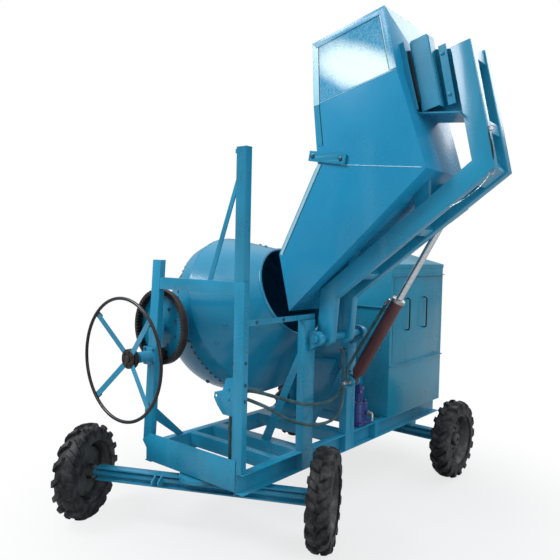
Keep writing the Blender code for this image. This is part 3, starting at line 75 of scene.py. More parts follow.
# ---------------------------------------------------------------- shader maths
class Signal:
    """An output socket that takes part in arithmetic; each operator adds one Math node."""

    def __init__(self, bench: "Bench", socket: bpy.types.NodeSocket | None) -> None:
        """Keeps the socket and the material it belongs to."""
        self.bench = bench
        self.socket = socket

    def _math(self, operation: str, first: "Signal | float", second: "Signal | float") -> "Signal":
        """Adds a Math node on two values."""
        return self.bench.node("ShaderNodeMath", {"operation": operation}, {0: first, 1: second})

    def __add__(self, other: "Signal | float") -> "Signal":
        """Sum."""
        return self._math("ADD", self, other)

    def __sub__(self, other: "Signal | float") -> "Signal":
        """Difference."""
        return self._math("SUBTRACT", self, other)

    def __rsub__(self, other: float) -> "Signal":
        """Difference from a number."""
        return self._math("SUBTRACT", other, self)

    def __mul__(self, other: "Signal | float") -> "Signal":
        """Product."""
        return self._math("MULTIPLY", self, other)

    __radd__ = __add__
    __rmul__ = __mul__

    def band(self, low: float, high: float) -> "Signal":
        """Rises from 0 at low to 1 at high with soft ends; low may be above high.

        Args:
            low: Value at which the result is 0.
            high: Value at which the result is 1.
        Returns:
            The smoothed share.
        """
        return self.bench.node("ShaderNodeMapRange", {"interpolation_type": "SMOOTHSTEP"},
                               {0: self, 1: low, 2: high, 3: 0.0, 4: 1.0})


class Bench:
    """One material being made: it adds nodes and ends in a Principled shader."""

    def __init__(self, name: str) -> None:
        """Starts a material with an empty tree.

        Args:
            name: Name of the material.
        """
        self.material = bpy.data.materials.new(name)
        self.material.use_nodes = True
        self.tree = self.material.node_tree
        self.tree.nodes.clear()

    def node(self, kind: str, settings: dict[str, object] | None = None,
             inputs: dict[int | str, object] | None = None, output: int | str = 0) -> Signal:
        """Adds a node, sets its settings first and then its sockets.

        Args:
            kind: The node's type.
            settings: Attributes.
            inputs: Values or signals by socket.
            output: Socket that is returned.
        Returns:
            The chosen output.
        """
        made = self.tree.nodes.new(kind)
        for name, value in (settings or {}).items():
            setattr(made, name, value)
        for key, value in (inputs or {}).items():
            if isinstance(value, Signal):
                self.tree.links.new(value.socket, made.inputs[key])
            else:
                made.inputs[key].default_value = value
        return Signal(self, made.outputs[output] if len(made.outputs) else None)

    def place(self, stretch: Point = (1.0, 1.0, 1.0), turn: Point = (0.0, 0.0, 0.0)) -> Signal:
        """Object coordinates, turned and then stretched."""
        here = self.node("ShaderNodeTexCoord", output="Object")
        return self.node("ShaderNodeMapping", {"vector_type": "POINT"},
                         {"Vector": here, "Rotation": turn, "Scale": stretch})

    def noise(self, scale: float, detail: float = 4.0, rough: float = 0.55,
              stretch: Point = (1.0, 1.0, 1.0), turn: Point = (0.0, 0.0, 0.0)) -> Signal:
        """Fractal noise on Object coordinates.

        Args:
            scale: Patches per metre.
            detail: Octaves.
            rough: Share that each octave keeps.
            stretch: Scale of each axis before the noise.
            turn: Turn of the coordinates in radians.
        Returns:
            The noise, around 0.5.
        """
        return self.node("ShaderNodeTexNoise", None,
                         {"Vector": self.place(stretch, turn), "Scale": scale, "Detail": detail,
                          "Roughness": rough})

    def axis(self, name: str) -> Signal:
        """One Object coordinate: "X", "Y" or "Z"."""
        return self.node("ShaderNodeSeparateXYZ", None, {0: self.node("ShaderNodeTexCoord", output="Object")}, name)

    def mix(self, share: Signal | float, first: Signal | Colour, second: Signal | Colour) -> Signal:
        """Colour that goes from first to second as the share rises."""
        ends = [value if isinstance(value, Signal) else (*value, 1.0) for value in (first, second)]
        return self.node("ShaderNodeMix", {"data_type": "RGBA"}, {0: share, 6: ends[0], 7: ends[1]}, 2)

    def bump(self, height: Signal, distance: float, strength: float = 1.0,
             below: Signal | None = None) -> Signal:
        """A Bump node whose height is in parts of the distance."""
        inputs: dict[int | str, object] = {"Height": height, "Distance": distance, "Strength": strength}
        if below is not None:
            inputs["Normal"] = below
        return self.node("ShaderNodeBump", None, inputs)

    def finish(self, base: Signal | Colour, roughness: Signal | float, metallic: Signal | float = 0.0,
               normal: Signal | None = None, coat: float = 0.0, specular: float = 0.5) -> bpy.types.Material:
        """Ends the tree in a Principled shader.

        Args:
            base: Base colour.
            roughness: Roughness.
            metallic: Metallic.
            normal: Bumped normal, if any.
            coat: Weight of the clear coat.
            specular: Level of the specular lobe.
        Returns:
            The finished material.
        """
        inputs: dict[int | str, object] = {
            "Base Color": base if isinstance(base, Signal) else (*base, 1.0), "Roughness": roughness,
            "Metallic": metallic, "Coat Weight": coat, "Coat Roughness": 0.12,
            "Specular IOR Level": specular}
        if normal is not None:
            inputs["Normal"] = normal
        shader = self.node("ShaderNodeBsdfPrincipled", None, inputs)
        self.node("ShaderNodeOutputMaterial", None, {"Surface": shader})
        return self.material


# ---------------------------------------------------------------- finishes
DUSTY: Colour = (0.26, 0.28, 0.27)          # dust on paint
CHIPPED: Colour = (0.10, 0.085, 0.075)      # where paint is gone
SCUFFED: Colour = (0.36, 0.55, 0.62)        # paint that is rubbed pale
PAINTED_SKY_TONE: Colour = (0.78, 0.97, 1.0)          # painted reflection of the pale sky
DUSTY_RUBBER: Colour = (0.12, 0.115, 0.11)


@dataclass(frozen=True)
class Enamel:
    """Brushed and sprayed enamel on steel: patchy colour, dust low down, chips and scuffs."""

    name: str
    colour: Colour
    patch: float = 0.16             # how far the colour strays
    gloss: float = 0.27             # roughness of clean paint
    waves: float = 0.0022           # height of the sheet's waves
    chips: float = 0.30             # 0 none, 1 many
    dust_height: float = 0.55       # where the dust ends
    sky_reflection: bool = False             # painted reflection of the sky on the hopper's near wall

    def make(self) -> bpy.types.Material:
        """Builds the enamel."""
        bench = Bench(self.name)
        broad = bench.noise(1.7, 3.0)
        streak = bench.noise(5.0, 5.0, 0.6, (1.0, 1.0, 0.22))
        fine = bench.noise(55.0, 3.0, 0.6)
        dark = tuple(c * (1.0 - 1.4 * self.patch) for c in self.colour)
        pale = tuple(c + (0.75 - c) * self.patch * 0.55 for c in self.colour)
        base = bench.mix(broad.band(0.36, 0.64), dark, self.colour)
        base = bench.mix(streak.band(0.50, 0.78) * 0.6, base, pale)
        height = bench.axis("Z")
        dust = height.band(self.dust_height, 0.10) * bench.noise(9.0, 6.0, 0.7).band(0.38, 0.70)
        base = bench.mix(dust * 0.34, base, DUSTY)
        spots = bench.noise(34.0, 6.0, 0.75).band(0.735 - 0.03 * self.chips, 0.765 - 0.03 * self.chips)
        base = bench.mix(spots * (0.85 * min(1.0, 2.0 * self.chips)), base, CHIPPED)
        scuff = bench.noise(13.0, 8.0, 0.8, (0.25, 0.25, 3.2)).band(0.655, 0.70)
        base = bench.mix(scuff * 0.16, base, SCUFFED)
        rough = broad * 0.16 + dust * 0.30 + fine * 0.05 + (self.gloss - 0.09)
        # paints the sky's reflection on the hopper's near wall
        if self.sky_reflection:
            base, rough = self.paint_sky_reflection(bench, base, rough)
        skin = bench.bump(fine, 0.00035, 0.5)
        normal = bench.bump(bench.noise(3.4, 2.0, 0.45), self.waves, 1.0, skin)
        return bench.finish(base, rough, 0.0, normal, coat=0.10, specular=0.40)

    def paint_sky_reflection(self, bench: Bench, base: Signal, rough: Signal) -> tuple[Signal, Signal]:
        """Adds a painted reflection of the pale sky on the near wall, between the bucket's rim and its crease.

        Args:
            bench: The material being made.
            base: Colour so far.
            rough: Roughness so far.
        Returns:
            The new colour and roughness.
        """
        wall = -0.585                                                   # Y just inside the near wall
        middle_x, middle_z, lean = 0.95, 3.355, 0.42                    # the patch's middle and its slant
        (x0, z0), (x1, z1) = HopperTrim.crease
        slope = (z1 - z0) / (x1 - x0)
        above = bench.axis("Z") - (bench.axis("X") + MIDDLE[0] - x0) * slope - z0
        near = bench.axis("Y").band(wall, wall - 0.004)
        speckle = bench.noise(85.0, 5.0, 0.75).band(0.42, 0.58)
        along = bench.axis("X") + MIDDLE[0] - middle_x
        height = bench.axis("Z") - middle_z + along * lean
        reach = along * along * 3.6 + height * height * 19.0 + bench.noise(3.2, 3.0, 0.5) * 0.5
        patch = reach.band(1.05, 0.28)
        spread = patch * 0.94 + patch.band(0.0, 0.55) * speckle * 0.06 + speckle * 0.14
        share = above.band(0.004, 0.014) * near * spread
        return bench.mix(share, base, PAINTED_SKY_TONE), rough + share * 0.15


@dataclass(frozen=True)
class Metal:
    """Bare, greasy or polished metal with marks along one axis."""

    name: str
    colour: Colour
    grime: Colour = (0.030, 0.026, 0.023)
    grimy: float = 0.35             # 0 clean, 1 covered
    roughness: float = 0.32
    metallic: float = 0.9
    grain: Point = (6.0, 6.0, 6.0)  # stretch of the marks
    depth: float = 0.0004           # height of the marks

    def make(self) -> bpy.types.Material:
        """Builds the metal."""
        bench = Bench(self.name)
        marks = bench.noise(22.0, 5.0, 0.6, self.grain)
        dirt = bench.noise(11.0, 7.0, 0.7).band(0.62 - 0.3 * self.grimy, 0.78 - 0.3 * self.grimy)
        base = bench.mix(marks.band(0.35, 0.65), tuple(c * 0.75 for c in self.colour), self.colour)
        base = bench.mix(dirt * min(1.0, 0.5 + self.grimy), base, self.grime)
        rough = marks * 0.12 + dirt * 0.35 + (self.roughness - 0.06)
        metal = (1.0 - dirt * 0.7) * self.metallic
        return bench.finish(base, rough, metal, bench.bump(marks, self.depth, 0.6))


@dataclass(frozen=True)
class Rubber:
    """Tyre or hose rubber: near black with scuffed grey patches, dusty in patches; on the hose the paler tone is a
    painted highlight.
    """

    name: str
    colour: Colour
    scuff_and_highlight: Colour                    # colour of the paler patches: scuffs, and on the hose a painted highlight
    dust: float = 0.4               # 0 none, 1 covered
    roughness: float = 0.62

    def make(self) -> bpy.types.Material:
        """Builds the rubber."""
        bench = Bench(self.name)
        cloud = bench.noise(14.0, 6.0, 0.65)
        fine = bench.noise(140.0, 3.0, 0.6)
        base = bench.mix(cloud.band(0.40, 0.68), self.colour, self.scuff_and_highlight)
        dust = bench.noise(6.0, 8.0, 0.72).band(0.52, 0.74)
        base = bench.mix(dust * self.dust, base, DUSTY_RUBBER)
        rough = cloud * 0.2 + dust * 0.2 + (self.roughness - 0.12)
        return bench.finish(base, rough, 0.0, bench.bump(fine, 0.0006, 0.7), specular=0.28)


class Finish(Enum):
    """The finishes of the mixer, each with the record's slot that it stands for."""

    BLUE = ("blue_paint", Enamel("blue_enamel", (0.014, 0.245, 0.410), patch=0.13))
    # the hopper's enamel paints the sky's reflection on its near wall
    HOPPER = ("blue_paint", Enamel("hopper_enamel", (0.010, 0.250, 0.450), patch=0.05, chips=0.15, sky_reflection=True))
    DRUM = ("blue_paint", Enamel("drum_enamel", (0.009, 0.205, 0.350), patch=0.06, gloss=0.20, waves=0.0030))
    CABIN = ("blue_paint", Enamel("cabin_enamel", (0.016, 0.235, 0.365), patch=0.12, waves=0.0026))
    # paler enamel that paints the sky's highlight on the hopper's edge strips and weld seams
    PALE = ("blue_paint", Enamel("painted_highlight_enamel", (0.30, 0.58, 0.70), patch=0.10, chips=0.2, dust_height=0.1))
    BARE = ("bare_steel", Metal("plain_steel", (0.50, 0.51, 0.52)))
    BOLT = ("bare_steel", Enamel("bolt_enamel", (0.010, 0.100, 0.170), patch=0.30, chips=0.2))
    CHROME = ("chromed_rod", Metal("rod_chrome", (0.72, 0.73, 0.74), grimy=0.12, roughness=0.12,
                                   metallic=1.0, grain=(1.0, 1.0, 9.0), depth=0.00008))
    PRIMER = ("red_primer", Enamel("primer_enamel", (0.082, 0.024, 0.028), patch=0.10, gloss=0.34, chips=0.5))
    GREASY = ("greasy_iron", Metal("greased_iron", (0.040, 0.029, 0.027), grimy=0.55, roughness=0.46,
                                   metallic=0.55, depth=0.0012))
    RUBBER = ("tyre_rubber", Rubber("tread_rubber", (0.009, 0.009, 0.010), (0.042, 0.042, 0.045), dust=0.20,
                                    roughness=0.55))
    BLACK = ("black_paint", Enamel("black_enamel", (0.009, 0.008, 0.009), patch=0.03, gloss=0.34, chips=0.3,
                                   dust_height=0.7))
    PUMP = ("pump_blue", Enamel("pump_enamel", (0.018, 0.042, 0.20), patch=0.12, gloss=0.3, chips=0.5))
    # the hose's paler tone is painted highlight, mixed in random patches
    HOSE = ("hose_rubber", Rubber("hose_cover", (0.024, 0.066, 0.076), (0.055, 0.120, 0.132), dust=0.08,
                                  roughness=0.45))
    GREY = ("engine_grey", Enamel("engine_enamel", (0.20, 0.21, 0.215), patch=0.2, chips=0.5))

    @property
    def slot(self) -> str:
        """Slot of the record."""
        return self.value[0]

    @property
    def material(self) -> bpy.types.Material:
        """The material, built the first time it is asked for."""
        recipe = self.value[1]
        return bpy.data.materials.get(recipe.name) or recipe.make()


# ---------------------------------------------------------------- surfaces
def unit(vector: Array) -> Array:
    """The vector at length 1."""
    return vector / np.linalg.norm(vector)


def across(axis: Array) -> tuple[Array, Array]:
    """Two directions square to an axis and to each other."""
    helper = Z_AXIS if abs(axis[2]) < 0.9 else X_AXIS
    first = unit(np.cross(helper, axis))
    return first, np.cross(axis, first)


def full_turn(steps: int) -> Array:
    """Angles round a full turn in even steps, the last one written as 0 so that the ends meet."""
    turn = np.linspace(0, 2 * math.pi, steps + 1)
    turn[-1] = 0.0
    return turn


def around(first: Array, second: Array, turn: Array) -> Array:
    """Directions at angles from first towards second."""
    return np.cos(turn)[..., None] * first + np.sin(turn)[..., None] * second


def fan(first: Array, second: Array, count: int, start: float) -> Array:
    """Directions spread evenly over a full turn, the first one at start radians."""
    return around(first, second, start + np.arange(count) * 2 * math.pi / count)


def teeth(count: int, foot: float, land: float, root: float, tip: float, start: float = 0.0) -> tuple[Array, Array]:
    """Closed outline of straight-flanked teeth.

    Args:
        count: Number of teeth.
        foot: Half of a tooth's width at its root, in pitches.
        land: Half of its width at its tip, in pitches.
        root: Distance of the roots.
        tip: Distance of the tips.
        start: Angle of the first tooth's middle.
    Returns:
        The angles and the distances of its points.
    """
    share = np.array((-0.5, -foot, -land, land, foot))
    turn = (start + (np.arange(count)[:, None] + share) * 2 * math.pi / count).ravel()
    reach = np.tile(np.array((root, root, tip, tip, root)), count)
    return np.append(turn, turn[0]), np.append(reach, reach[0])


def flowing(points: list[Point] | Array, per_leg: int = 8) -> Array:
    """Smooth path through points, with uniform Catmull-Rom legs.

    On a leg from p1 to p2, with t from 0 to 1, the path is
    ((2 p1) + (p2 - p0) t + (2 p0 - 5 p1 + 4 p2 - p3) t^2 + (3 p1 - p0 - 3 p2 + p3) t^3) / 2.

    Args:
        points: The points that it passes through.
        per_leg: Steps on each leg.
    Returns:
        The path, one row per point.
    """
    p = np.asarray(points, float)
    p = np.concatenate((2 * p[:1] - p[1:2], p, 2 * p[-1:] - p[-2:-1]))
    t = np.linspace(0, 1, per_leg, endpoint=False)[None, :, None]
    a, b, c, d = p[:-3, None], p[1:-2, None], p[2:-1, None], p[3:, None]
    legs = (2 * b + (c - a) * t + (2 * a - 5 * b + 4 * c - d) * t ** 2 + (3 * b - a - 3 * c + d) * t ** 3) / 2
    return np.concatenate((legs.reshape(-1, 3), p[-2:-1]))


def path_length(path: Array) -> float:
    """Length of a path."""
    return float(np.linalg.norm(np.diff(path, axis=0), axis=1).sum())


def arc(centre: tuple[float, float], radius: float, start: float, end: float, count: int) -> list[tuple[float, float]]:
    """Points of an arc in the plane, angles in degrees."""
    turn = np.radians(np.linspace(start, end, count))
    return list(zip(centre[0] + radius * np.cos(turn), centre[1] + radius * np.sin(turn)))


def put(name: str, data: bpy.types.ID) -> bpy.types.Object:
    """Adds an object to the scene."""
    made = bpy.data.objects.new(name, data)
    bpy.context.scene.collection.objects.link(made)
    return made


def stood(place: Point, *axes: Array) -> Matrix:
    """Matrix of an object at a place, with its own X, Y and Z along three directions."""
    turned = np.eye(4)
    turned[:3, :3] = np.stack(axes, -1)
    turned[:3, 3] = place
    return Matrix(turned.tolist())


@dataclass
class Skin:
    """Surfaces gathered into one mesh, in the design frame."""

    name: str
    points: list[Array] = field(default_factory=list)
    faces: list[Array] = field(default_factory=list)
    count: int = 0

    def _add(self, points: Array, faces: Array) -> None:
        """Keeps points and the faces on them."""
        self.points.append(points.reshape(-1, 3))
        self.faces.append(faces + self.count)
        self.count += len(self.points[-1])

    def grid(self, points: Array) -> "Skin":
        """Adds the quads of a grid of points, rows by columns.

        Args:
            points: Array of rows x columns x 3.
        Returns:
            The skin itself.
        """
        rows, columns = points.shape[:2]
        index = np.arange(rows * columns).reshape(rows, columns)
        quads = np.stack((index[:-1, :-1], index[:-1, 1:], index[1:, 1:], index[1:, :-1]), -1)
        self._add(points, quads.reshape(-1, 4))
        return self

    def lathe(self, profile: list[tuple[float, float]] | Array, start: Array, axis: Array,
              facets: int = 64) -> "Skin":
        """Turns a profile about an axis.

        P(u, v) = start + along(u) axis + radius(u) (cos v first + sin v second), with v from 0 to
        a full turn; a radius of 0 closes an end.

        Args:
            profile: Rows of (along, radius).
            start: Origin of the axis.
            axis: Its direction.
            facets: Steps round it.
        Returns:
            The skin itself.
        """
        axis = unit(np.asarray(axis, float))
        first, second = across(axis)
        along, radius = np.asarray(profile, float).T
        ring = around(first, second, full_turn(facets))
        return self.grid(np.asarray(start, float) + along[:, None, None] * axis + radius[:, None, None] * ring)

    def tube(self, path: Array, radius: float | Array, facets: int = 16) -> "Skin":
        """Carries a circle along a path and closes both ends.

        P(u, v) = path(u) + radius(u) (cos v side(u) + sin v up(u)), where side and up are turned
        from one station to the next no more than the path itself turns.

        Args:
            path: Points of the middle line.
            radius: One radius, or one for each point.
            facets: Steps round it.
        Returns:
            The skin itself.
        """
        path = np.asarray(path, float)
        tangent = np.gradient(path, axis=0)
        tangent /= np.linalg.norm(tangent, axis=1)[:, None]
        side = np.empty_like(path)
        side[0] = across(tangent[0])[0]
        for k in range(1, len(path)):
            side[k] = unit(side[k - 1] - tangent[k] * (side[k - 1] @ tangent[k]))
        up = np.cross(tangent, side)
        size = np.broadcast_to(np.asarray(radius, float), len(path))[:, None, None]
        v = full_turn(facets)[:, None]
        body = path[:, None] + size * (np.cos(v) * side[:, None] + np.sin(v) * up[:, None])
        ends = np.broadcast_to(path[[0, -1], None], (2, facets + 1, 3))
        return self.grid(np.concatenate((ends[:1], body, ends[1:])))

    def prism(self, outline: list[tuple[float, float]] | Array, origin: Array, first: Array, second: Array,
              depth: Array) -> "Skin":
        """Carries a closed outline in the plane of two directions along a third, with flat ends.

        Args:
            outline: Rows of two coordinates.
            origin: Where they are both 0.
            first: Direction of the first coordinate.
            second: Direction of the second coordinate.
            depth: From one end to the other.
        Returns:
            The skin itself.
        """
        flat = np.asarray(outline, float)
        first, second = np.asarray(first, float), np.asarray(second, float)
        low = np.asarray(origin, float) + flat[:, :1] * first + flat[:, 1:] * second
        count = len(low)
        index = np.arange(count)
        after = np.roll(index, -1)
        points = np.concatenate((low, low + np.asarray(depth, float)))
        base = self.count
        self._add(points, np.stack((index, after, after + count, index + count), -1))
        self.faces.append(base + index[None, ::-1])
        self.faces.append(base + count + index[None])
        return self

    def bar(self, start: Array, end: Array, side: Array, width: float, thick: float) -> "Skin":
        """A flat bar with its corners cut, from start to end and wide along side."""
        start, end = np.asarray(start, float), np.asarray(end, float)
        run = end - start
        side = unit(np.asarray(side, float) - unit(run) * (np.asarray(side, float) @ unit(run)))
        up = np.cross(unit(run), side)
        w, t, c = width / 2, thick / 2, min(width, thick) * 0.18
        outline = [(-w + c, -t), (w - c, -t), (w, -t + c), (w, t - c),
                   (w - c, t), (-w + c, t), (-w, t - c), (-w, -t + c)]
        return self.prism(outline, start, side, up, run)

    def box(self, low: Point, high: Point, cut: float = 0.0015) -> "Skin":
        """A block along the axes with the four edges along X cut."""
        low, high = np.asarray(low, float), np.asarray(high, float)
        middle = (low + high) / 2
        size = high - low
        start = middle.copy()
        start[0] = low[0]
        y, z = size[1] / 2, size[2] / 2
        outline = [(-y + cut, -z), (y - cut, -z), (y, -z + cut), (y, z - cut), (y - cut, z), (-y + cut, z),
                   (-y, z - cut), (-y, -z + cut)]
        return self.prism(outline, start, Y_AXIS, Z_AXIS, X_AXIS * size[0])

    def bolts(self, places: Array | list[Point], axis: Array | Point, radius: float = 0.009,
              washer: bool = True) -> "Skin":
        """Hexagon heads with a crowned top, each on a washer and sunk a little in its plate.

        Args:
            places: Points where the heads' axes meet the plate.
            axis: Direction that the heads stand up in.
            radius: From the axis to a corner.
            washer: Whether there is a washer.
        Returns:
            The skin itself.
        """
        thick = radius * 0.25 if washer else 0.0
        head = [(-0.001, 0), (-0.001, radius), (thick + radius * 0.55, radius), (thick + radius * 0.72, radius * 0.82),
                (thick + radius * 0.74, 0)]
        ring = [(-0.001, 0), (-0.001, radius * 1.45), (thick * 0.8, radius * 1.45), (thick, radius * 1.36), (thick, 0)]
        for place in np.atleast_2d(np.asarray(places, float)):
            self.lathe(head, place, axis, 6)
            if washer:
                self.lathe(ring, place, axis, 14)
        return self

    def weld(self, path: Array | list[Point], radius: float = 0.004, pitch: float = 0.007) -> "Skin":
        """A bead along a path: a tube whose radius swells once for each pitch."""
        path = np.asarray(path, float)
        legs = np.linalg.norm(np.diff(path, axis=0), axis=1)
        reach = np.concatenate(([0.0], np.cumsum(legs)))
        s = np.linspace(0, reach[-1], max(8, int(reach[-1] / pitch * 3)))
        line = np.stack([np.interp(s, reach, path[:, k]) for k in range(3)], -1)
        swell = radius * (0.85 + 0.2 * np.sin(2 * math.pi * s / pitch) + 0.12 * np.sin(s * 97.0 + 1.3))
        return self.tube(line, swell, 6)

    def done(self, body: str, finish: Finish, *replaced: str) -> bpy.types.Object:
        """Writes the mesh, closes its seams, turns its faces outwards and puts it on its body.

        Args:
            body: Body that it rides on.
            finish: Its finish.
            replaced: CAD nodes that it stands for.
        Returns:
            The object.
        """
        mesh = bpy.data.meshes.new(self.name)
        points = np.concatenate(self.points) - MIDDLE
        corners = np.concatenate([faces.ravel() for faces in self.faces])
        sizes = np.concatenate([np.full(len(faces), faces.shape[1]) for faces in self.faces])
        mesh.vertices.add(len(points))
        mesh.vertices.foreach_set("co", points.ravel())
        mesh.loops.add(len(corners))
        mesh.loops.foreach_set("vertex_index", corners)
        mesh.polygons.add(len(sizes))
        mesh.polygons.foreach_set("loop_start", np.concatenate(([0], np.cumsum(sizes)[:-1])))
        mesh.update(calc_edges=True)
        work = bmesh.new()
        work.from_mesh(mesh)
        bmesh.ops.remove_doubles(work, verts=work.verts, dist=SAME_POINT)
        bmesh.ops.recalc_face_normals(work, faces=work.faces)
        work.to_mesh(mesh)
        work.free()
        mesh.polygons.foreach_set("use_smooth", np.ones(len(mesh.polygons), bool))
        mesh.set_sharp_from_angle(angle=SMOOTH_ANGLE)
        mesh.materials.append(finish.material)
        made = put(self.name, mesh)
        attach(made, body)
        if replaced:
            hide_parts(*replaced)
        LOG.info("%s: %d faces on %s", self.name, len(mesh.polygons), body)
        return made


# ---------------------------------------------------------------- floor, light, camera
@dataclass
class Studio:
    """Pale floor, pale surroundings, soft lamps and the camera."""

    place: Point = (2.820, -4.0508, 2.064)
    yaw: float = 0.689              # from +Y towards -X
    pitch: float = -0.042
    roll: float = 0.022
    lens: float = 37.75             # focal length in mm
    sensor: float = 36.0
    floor_size: float = 60.0
    sky: float = 1.15               # strength of the surroundings
    lit: Point = (0.0, 0.0, 1.5)    # what the lamps face
    lamps: tuple[tuple[str, Point, float, float], ...] = (      # name, place, width, watts
        ("key", (-3.4, -5.0, 6.8), 3.2, 400.0), ("fill", (6.8, -2.5, 3.6), 3.0, 120.0),
        ("back", (1.5, 6.0, 6.5), 4.0, 130.0))

    def camera(self) -> None:
        """Puts up the camera: looks along yaw and pitch, then rolls about that line."""
        data = bpy.data.cameras.new("camera")
        data.lens = self.lens
        data.sensor_width = self.sensor
        data.clip_end = 200.0
        made = put("camera", data)
        level, onward = around(X_AXIS, Y_AXIS, np.array((self.yaw, self.yaw + math.pi / 2)))
        ahead = onward * math.cos(self.pitch) + Z_AXIS * math.sin(self.pitch)
        right, up = around(level, np.cross(level, ahead), np.array((self.roll, self.roll + math.pi / 2)))
        made.matrix_world = stood(self.place, right, up, -ahead)
        bpy.context.scene.camera = made

    def surroundings(self) -> None:
        """World that is white to the camera and, to everything else, a pale sky over a dimmer ground."""
        world = bpy.data.worlds.new("studio")
        bpy.context.scene.world = world
        world.use_nodes = True
        bench = Bench.__new__(Bench)
        bench.tree = world.node_tree
        bench.tree.nodes.clear()
        ray = bench.node("ShaderNodeLightPath", output="Is Camera Ray")
        up = bench.node("ShaderNodeSeparateXYZ", None, {0: bench.node("ShaderNodeTexCoord", output="Generated")}, "Z")
        tone = bench.mix(up.band(-0.25, 0.15), (0.05, 0.06, 0.07), (0.26, 0.31, 0.35))
        tone = bench.mix(up.band(0.08, 0.85), tone, (0.96, 0.985, 1.0))
        light = bench.node("ShaderNodeBackground", None, {"Color": tone, "Strength": self.sky})
        seen = bench.node("ShaderNodeBackground", None, {"Color": (1.0, 1.0, 1.0, 1.0), "Strength": 1.0})
        both = bench.node("ShaderNodeMixShader", None, {0: ray, 1: light, 2: seen})
        bench.node("ShaderNodeOutputWorld", None, {"Surface": both})

    def floor(self) -> None:
        """Level floor that keeps the shadow near the mixer and turns white to the camera far off."""
        half = self.floor_size / 2
        mesh = bpy.data.meshes.new("floor")
        mesh.from_pydata([(-half, -half, 0), (half, -half, 0), (half, half, 0), (-half, half, 0)], [], [(0, 1, 2, 3)])
        made = put("floor", mesh)
        bench = Bench("floor")
        reach = bench.node("ShaderNodeVectorMath", {"operation": "LENGTH"}, {0: bench.place()}, "Value")
        ray = bench.node("ShaderNodeLightPath", output="Is Camera Ray")
        matt = bench.node("ShaderNodeBsdfDiffuse", None, {"Color": (0.46, 0.47, 0.48, 1.0)})
        white = bench.node("ShaderNodeEmission", None, {"Color": (1.0, 1.0, 1.0, 1.0), "Strength": 1.0})
        share = (reach.band(1.2, 3.0) * 0.25 + 0.75) * ray
        both = bench.node("ShaderNodeMixShader", None, {0: share, 1: matt, 2: white})
        bench.node("ShaderNodeOutputMaterial", None, {"Surface": both})
        mesh.materials.append(bench.material)

    def lights(self) -> None:
        """Large soft lamps that face the middle of the mixer."""
        for name, place, size, power in self.lamps:
            data = bpy.data.lights.new(name, "AREA")
            data.shape = "DISK"
            data.size = size
            data.energy = power
            away = unit(np.array(place) - np.array(self.lit))
            put(name, data).matrix_world = stood(place, *across(away), away)
        bpy.context.scene.view_settings.view_transform = "Standard"


